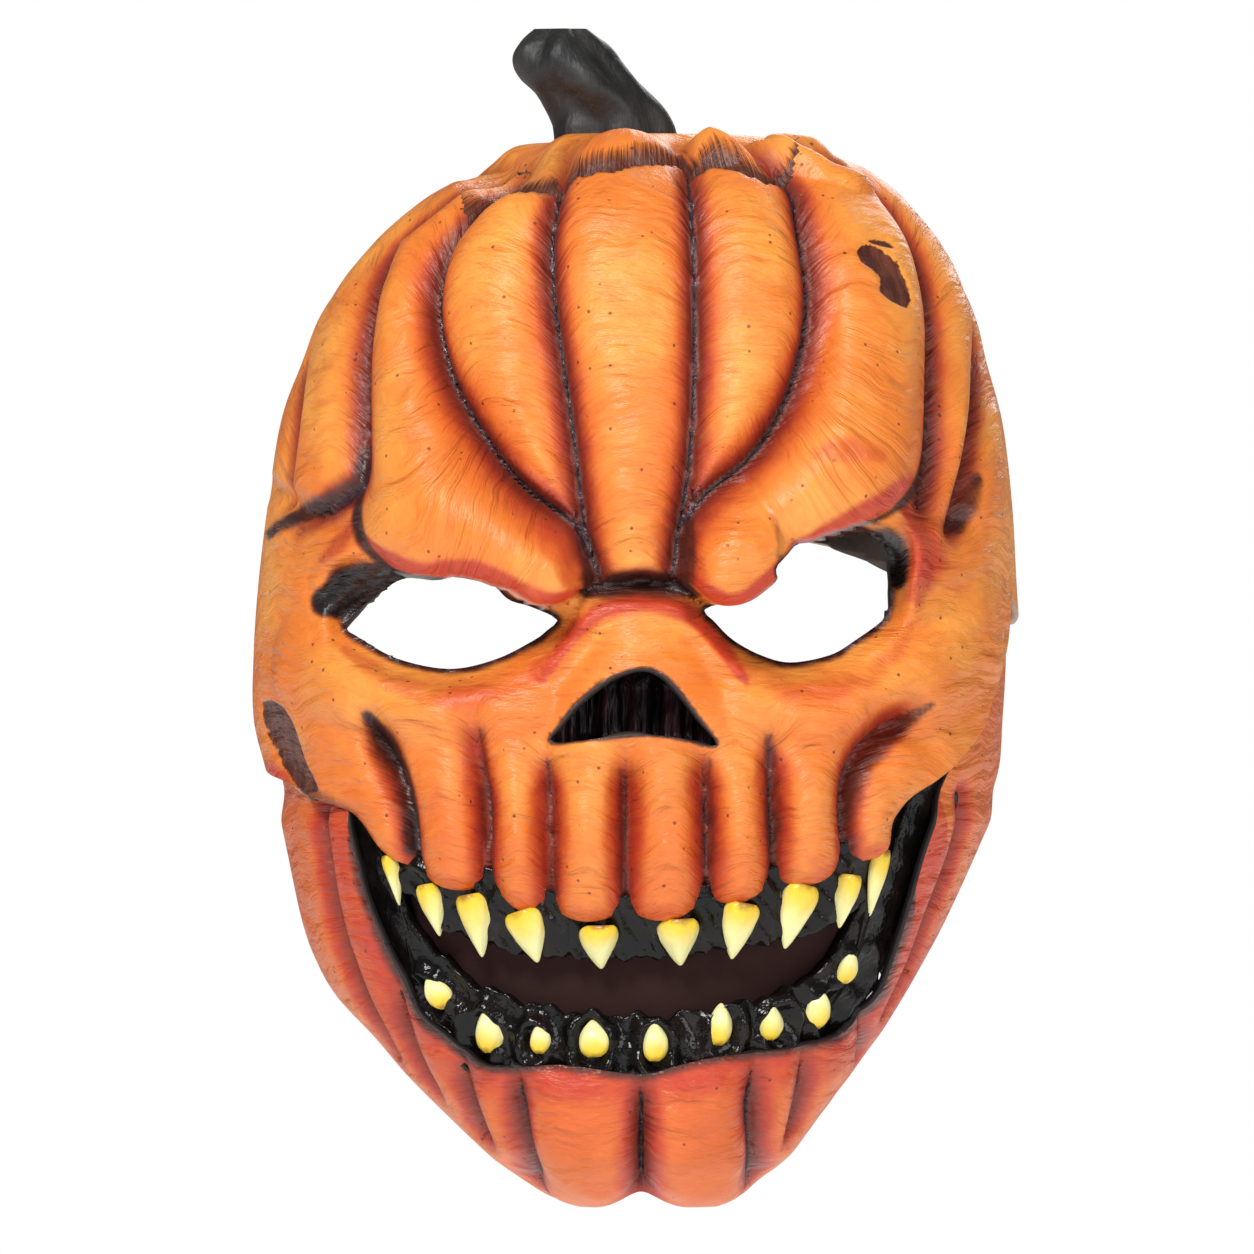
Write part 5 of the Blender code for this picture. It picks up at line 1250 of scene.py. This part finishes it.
def build_jaw():
    sides = sorted(JAW_TOP_LEFT + JAW_TOP_RIGHT)
    line = np.array(refine(JAW_EDGE))[:, :2]
    past_top = past_edge(line, 0.0, sides, 1)
    azimuths = even_azimuths(JAW_COLUMNS * 2)
    azimuths = azimuths[np.abs(azimuths) <= JAW_REAR]
    rows = rows_between(max(z for _, z in sides) + 1.0, JAW_FOOT, np.linspace(0, 1, JAW_ROWS))
    grid = np.stack([head_point(np.full(JAW_ROWS, a), rows) for a in azimuths], axis=1)
    grid[1:-1] = path_fields(grid.reshape(-1, 3), JAW_GROOVES, grid_step(grid, False))[5].reshape(grid.shape)[1:-1]

    mesh, places, normals = base_skin("jaw_skin", grid, False, None, [past_top], lambda f: -f.calc_center_median().y)
    x, y, z = places.T
    gap, depth, cut, _, side, _ = path_fields(places, JAW_GROOVES)
    inset = JAW_INSET + (WALL + SEAT_GAP + JAW_TUCK_SLACK - JAW_INSET) * soft_step((z - JAW_TUCK_FOOT) / JAW_TUCK_FADE)
    moved = places - normals * (inset + JAW_DEEPER * cut)[:, None]
    below = -past_top(places)
    arc = np.arctan2(x, -y - 30.0) * 100.0
    masks = {
        "gap": np.clip(gap, 0, 12) * side,
        "broad": np.clip(gap, 0, 12),
        "weight": np.clip(depth / 5.0, 0, 1),
        "rib": np.clip(1 - cut / 7.0, 0, 1),
        "red": np.maximum(np.clip(1.3 - gap / 9.0, 0, 1) * np.clip(depth / 3.5, 0, 1),
                          0.7 * soft_step(1.2 - below / 18.0) * (np.abs(x) < 100)),
        "dark": 0.8 * soft_step(1 - below / 5.0) * (np.abs(x) < 90),
        "lid": np.full(len(x), -50.0),
        "brow": np.zeros(len(x)),
        "wound": np.full(len(x), -9.0),
    }
    dress(mesh, moved, masks, {"flow": np.column_stack([arc, z, np.full(len(x), 40.0)]) * MM,
                               "brow_flow": np.zeros((len(x), 3))})
    made = new_object("jaw_skin", mesh, [
        latex_paint("jaw_paint", (0.84, 0.22, 0.036), (0.72, 0.135, 0.022), PAINT["deep"]),
        bare_latex("jaw_rim", PAINT["black"]), bare_latex("jaw_inside", PAINT["inside"])])
    wall(made)
    return settle(made, "jaw_shell")


def sheet_between(name, top, foot, limits, depth, thick, columns, rows, shape_of, paint):
    """Curved strip that follows the head at a depth, with its own relief towards the front."""
    azimuths = np.linspace(limits[0], limits[1], columns)
    share = np.linspace(0, 1, rows)[:, None]
    high, low = height_at(top, azimuths), height_at(foot, azimuths)
    z = high * (1 - share) + low * share
    around = np.broadcast_to(azimuths, z.shape)
    x = head_point(around, row_at_height(z), depth)[..., 0]
    proud, drop = shape_of(x, z, share)
    z = z + drop
    outer = head_point(around, row_at_height(z), depth - proud)
    inner = head_point(around, row_at_height(z), depth + thick)
    places = np.concatenate([outer.reshape(-1, 3), inner.reshape(-1, 3)])
    half = rows * columns
    faces = grid_faces(rows, columns, False)
    faces += [tuple(v + half for v in reversed(f)) for f in grid_faces(rows, columns, False)]
    ring = ([(0, c) for c in range(columns)] + [(r, columns - 1) for r in range(1, rows)]
            + [(rows - 1, c) for c in range(columns - 2, -1, -1)] + [(r, 0) for r in range(rows - 2, 0, -1)])
    loop = [r * columns + c for r, c in ring]
    faces += [(a, b, b + half, a + half) for a, b in zip(loop, loop[1:] + loop[:1])]
    mesh = mesh_from(name, places, faces)
    outwards(mesh)
    return new_object(name, mesh, [paint])


def outwards(mesh):
    shape = bmesh.new()
    shape.from_mesh(mesh)
    bmesh.ops.recalc_face_normals(shape, faces=shape.faces)
    if shape.calc_volume(signed=True) < 0:
        bmesh.ops.reverse_faces(shape, faces=shape.faces)
    shape.to_mesh(mesh)
    shape.free()


def tooth_rims(x, z, rows, height, wide):
    """Gum raised in a ring round each tooth's root, and dipped under it."""
    swell = np.zeros(x.shape)
    for root_x, root_z, tip_x, tip_z, width, thick in rows:
        along_x, along_z = tip_x - root_x, tip_z - root_z
        share = np.clip(((x - root_x) * along_x + (z - root_z) * along_z) / (along_x ** 2 + along_z ** 2), 0, 0.6)
        distance = np.hypot(x - root_x - share * along_x, z - root_z - share * along_z)
        swell = np.maximum(swell, height * np.exp(-((distance - width * 0.62) / wide) ** 2))
    return swell


def build_gums():
    lip = edge_heights(LIP_EDGE)
    ends = [float(azimuth_of(x, z)) for x, z in UPPER_GUM_ENDS]

    def upper(x, z, share):
        wave = 0.7 * np.sin(x * 0.55) + 0.5 * np.sin(x * 1.27 + 1.0)
        return tooth_rims(x, z, UPPER_TEETH, 1.3, 2.0) + 0.4 * np.sin(x * 0.9 + z * 0.7), share ** 3 * wave

    made = sheet_between("upper_gum_skin", lip + np.array([0.0, UPPER_GUM_RISE]), edge_heights(UPPER_GUM_FOOT), ends,
                         GUM_DEPTH, GUM_THICK, 240, 26, upper, gum_paint("upper_gum_gloss"))
    settle(made, "upper_gum")
    ends = [float(azimuth_of(*GUM_ARM_LEFT[0])), float(azimuth_of(*GUM_ARM_RIGHT[-1])) + GUM_ARM_MORE]

    def lower(x, z, share):
        wave = 1.0 * np.sin(x * 0.42 + 0.5) + 0.7 * np.sin(x * 0.93)
        return (tooth_rims(x, z, LOWER_TEETH, 2.6, 2.2) + 0.5 * np.sin(x * 0.6 + z * 0.5),
                (1 - share) ** 2 * wave)

    foot = [(x * GUM_WIDER, z - LOWER_GUM_TUCK - GUM_ARM_DROP * soft_step((abs(x) - GUM_ARM_FROM) / GUM_ARM_FADE))
            for x, z in JAW_EDGE]
    made = sheet_between("lower_gum_skin", edge_heights(GUM_ARM_LEFT + LOWER_GUM_TOP[2:-2] + GUM_ARM_RIGHT),
                         edge_heights(foot), ends, LOWER_GUM_DEPTH, GUM_THICK, 300, 34, lower,
                         gum_paint("lower_gum_gloss"))
    settle(made, "lower_gum")


def build_mouth_lining():
    ends = [float(azimuth_of(x, z)) for x, z in LINING_ENDS]
    # a dark sheet behind the gums, painted shade for the mask's inside seen through the mouth
    made = sheet_between("mouth_lining_cloth", edge_heights(LINING_TOP), edge_heights(LINING_FOOT), ends, LINING_DEPTH,
                         LINING_THICK, 80, 16, lambda x, z, share: (0.25 * np.sin(x * 0.2), np.zeros(z.shape)),
                         lining_cloth("mouth_lining_painted_shade"))
    settle(made, "mouth_lining")
    azimuths = np.linspace(*ends, 200)
    top, low = height_at(edge_heights(LINING_TOP), azimuths), height_at(edge_heights(LINING_FOOT), azimuths)


def build_nose_lining():
    x0, x1, z0, z1 = NOSE_LINING_BOX
    across, down = 60, 40
    grid_x, grid_z = np.meshgrid(np.linspace(x0, x1, across), np.linspace(z1, z0, down))
    x, z = grid_x.ravel(), grid_z.ravel()
    share = np.minimum(np.minimum(x - x0, x1 - x) / NOSE_LINING_FADE_X, np.minimum(z - z0, z1 - z) / NOSE_LINING_FADE_Z)
    fold = 2.2 * np.sin(x * 0.62 + 0.4 * np.sin(z * 0.3)) + 1.0 * np.sin(x * 1.31 + 1.0)
    front = seen_point(x, z)
    front[:, 1] += WALL + SEAT_GAP + soft_step(share) * (NOSE_LINING_DIP - fold)
    back = front + np.array([0.0, NOSE_LINING_THICK, 0.0])
    half = across * down
    faces = grid_faces(down, across, False)
    faces += [tuple(v + half for v in reversed(f)) for f in grid_faces(down, across, False)]
    ring = ([(0, c) for c in range(across)] + [(r, across - 1) for r in range(1, down)]
            + [(down - 1, c) for c in range(across - 2, -1, -1)] + [(r, 0) for r in range(down - 2, 0, -1)])
    loop = [r * across + c for r, c in ring]
    faces += [(a, b, b + half, a + half) for a, b in zip(loop, loop[1:] + loop[:1])]
    mesh = mesh_from("nose_lining_skin", np.concatenate([front, back]), faces)
    outwards(mesh)
    settle(new_object("nose_lining_skin", mesh, [nose_skin("nose_folds")]), "nose_lining")


UPPER_TOOTH = [(0.0, 0.72, 0.8), (0.08, 0.93, 0.95), (0.22, 1.0, 1.0), (0.45, 0.86, 0.9), (0.68, 0.58, 0.65),
               (0.86, 0.32, 0.4), (0.96, 0.15, 0.2), (1.0, 0.05, 0.08)]
LOWER_TOOTH = [(0.0, 0.40, 0.5), (0.12, 0.78, 0.8), (0.32, 1.0, 1.0), (0.55, 0.95, 1.0), (0.76, 0.68, 0.75),
               (0.92, 0.34, 0.4), (1.0, 0.08, 0.1)]
TOOTH_RINGS, TOOTH_ROUND = 25, 24


def build_tooth(name, row, depth, profile, bend):
    """Tooth of level rings from root to tip, with a slight bend, worn ridges and its root's share kept."""
    root_x, root_z, tip_x, tip_z, width, thick = row
    position = np.linspace(0, len(profile) - 1, TOOTH_RINGS)
    places, root = [], []
    for share, wide, deep in smooth_rows(profile, position):
        sway = bend * math.sin(math.pi * share)
        x, z = root_x + (tip_x - root_x) * share + sway, root_z + (tip_z - root_z) * share
        centre = seen_point(x, z, inside=depth)
        side = seen_point(x + 1.0, z, inside=depth) - seen_point(x - 1.0, z, inside=depth)
        side[2] = 0.0
        side /= np.linalg.norm(side)
        out = np.cross(side, np.array([0.0, 0.0, 1.0]))
        out = -out if out[1] > 0 else out
        lean = np.array([tip_x - root_x, 0.0, tip_z - root_z])
        level = np.cross(lean / np.linalg.norm(lean), out)
        level /= np.linalg.norm(level)
        for k in range(TOOTH_ROUND):
            angle = 2 * math.pi * k / TOOTH_ROUND
            ridge = 1 + 0.05 * math.sin(3 * angle + root_x) + 0.03 * math.sin(7 * angle + 9 * share)
            forward = math.sin(angle) * (1.0 if math.sin(angle) > 0 else 0.12)
            places.append(centre + level * (math.cos(angle) * width / 2 * wide * ridge)
                          + out * (forward * thick * deep * ridge))
            root.append(max(0.0, (1 - share * 1.15)) * (0.55 + 0.45 * max(0.0, math.sin(angle))))
    faces = grid_faces(TOOTH_RINGS, TOOTH_ROUND, True)
    faces.append(tuple(range(TOOTH_ROUND)))
    faces.append(tuple(range((TOOTH_RINGS - 1) * TOOTH_ROUND, TOOTH_RINGS * TOOTH_ROUND)))
    mesh = mesh_from(name, places, faces)
    outwards(mesh)
    put(mesh, "root", root)
    return new_object(name, mesh, [bpy.data.materials["enamel"]])


def build_teeth():
    tooth_paint("enamel")
    for number, row in enumerate(UPPER_TEETH, 1):
        bend = 0.6 if number < 5 else -0.5
        made = build_tooth("upper_fang_%d" % number, row, GUM_DEPTH - TOOTH_GAP, UPPER_TOOTH, bend)
        settle(made, "upper_tooth_%d" % number)
    for number, row in enumerate(LOWER_TEETH, 1):
        clear = CORNER_TOOTH_GAP if number in CORNER_TEETH else TOOTH_GAP
        made = build_tooth("lower_fang_%d" % number, row, LOWER_GUM_DEPTH - clear, LOWER_TOOTH, 0.3)
        settle(made, "lower_tooth_%d" % number)


STEM_ROUND, STEM_STEPS = 96, 70
STEM_SKIRT = 6.0      # how far the stem's foot reaches down between the petals


def build_stem():
    """Fluted stem that leans back to the left, with a blunt lumpy head."""
    places = []
    foot = CROWN + STEM_GAP
    for up, across, along, wide, deep in smooth_rows(STEM_RINGS, np.linspace(0, len(STEM_RINGS) - 1, STEM_STEPS)):
        x, y, z = STEM_X + across * STEM_HALF_WIDTH, STEM_Y + along * STEM_HALF_DEPTH, foot + up * STEM_HEIGHT
        z -= STEM_SKIRT * max(0.0, 1 - up / 0.12)
        for k in range(STEM_ROUND):
            angle = 2 * math.pi * k / STEM_ROUND
            turn = 5 * angle + 1.6 * up
            flute = 2.6 * (0.5 - 0.5 * math.cos(turn)) ** 1.6 * (1 - 0.3 * up)
            lump = 0.7 * math.sin(2 * angle + 9 * up) + 0.45 * math.sin(7 * angle - 14 * up)
            places.append((x + (wide * STEM_HALF_WIDTH - flute + lump) * math.cos(angle),
                           y + (deep * STEM_HALF_DEPTH - flute + lump) * math.sin(angle), z))
    faces = grid_faces(STEM_STEPS, STEM_ROUND, True)
    faces.append(tuple(range(STEM_ROUND)))
    faces.append(tuple(range((STEM_STEPS - 1) * STEM_ROUND, STEM_STEPS * STEM_ROUND)))
    mesh = mesh_from("stem_skin", places, faces)
    outwards(mesh)
    settle(new_object("stem_skin", mesh, [stem_paint("stem_charcoal")]), "stem")


def camera_and_lights():
    scene = bpy.context.scene
    lens = bpy.data.cameras.new("front_camera")
    lens.sensor_width = SENSOR
    lens.sensor_fit = "HORIZONTAL"
    lens.lens = SENSOR * CAMERA_DISTANCE / FRAME_WIDTH
    lens.clip_start, lens.clip_end = 0.1, 40.0
    view = bpy.data.objects.new("front_camera", lens)
    scene.collection.objects.link(view)
    x, y, z = CAMERA_AIM
    view.location = (x, y - CAMERA_DISTANCE, z)
    view.rotation_euler = (math.radians(90), 0, 0)
    scene.camera = view
    scene.view_settings.view_transform = "Standard"
    world = bpy.data.worlds.new("studio")
    world.use_nodes = True
    scene.world = world
    tree = world.node_tree
    ground = tree.nodes["Background"]
    ray = tree.nodes.new("ShaderNodeLightPath")
    strength = node(tree, "ShaderNodeMapRange", {0: ray.outputs["Is Camera Ray"], 3: 0.16, 4: 1.0}).outputs[0]
    ground.inputs["Color"].default_value = (1, 1, 1, 1)
    tree.links.new(strength, ground.inputs["Strength"])
    for name, place, size, power in (
            ("key", (-0.55, -1.45, 1.15), 0.55, 32.0),
            ("fill", (1.1, -1.5, 0.35), 0.8, 9.0),
            ("low", (-0.3, -1.8, -0.45), 0.9, 3.0),
            ("back", (0.4, 1.3, 0.6), 0.8, 8.0)):
        light = bpy.data.lights.new(name, "AREA")
        light.size = size
        light.energy = power
        lamp = bpy.data.objects.new(name, light)
        scene.collection.objects.link(lamp)
        lamp.location = place
        aim = np.array(CAMERA_AIM) - np.array(place)
        flat = math.hypot(aim[0], aim[1])
        lamp.rotation_euler = (math.pi / 2 + math.atan2(aim[2], flat), 0, math.atan2(-aim[0], aim[1]))


def build_floor():
    floor = bpy.data.meshes.new("floor")
    half = FLOOR_HALF
    floor.from_pydata([(-half, -half, FLOOR), (half, -half, FLOOR), (half, half, FLOOR), (-half, half, FLOOR)], [],
                      [(0, 1, 2, 3)])
    made, tree, shader = new_material("floor")
    shader.inputs["Base Color"].default_value = (0.82, 0.82, 0.82, 1)
    shader.inputs["Roughness"].default_value = 0.8
    shader.inputs["Emission Color"].default_value = (1, 1, 1, 1)
    shader.inputs["Emission Strength"].default_value = 0.45
    thing = bpy.data.objects.new("floor", floor)
    floor.materials.append(made)
    bpy.context.scene.collection.objects.link(thing)


clear_lights()
camera_and_lights()
build_floor()
build_face()
build_jaw()
build_gums()
build_mouth_lining()
build_nose_lining()
build_teeth()
build_stem()
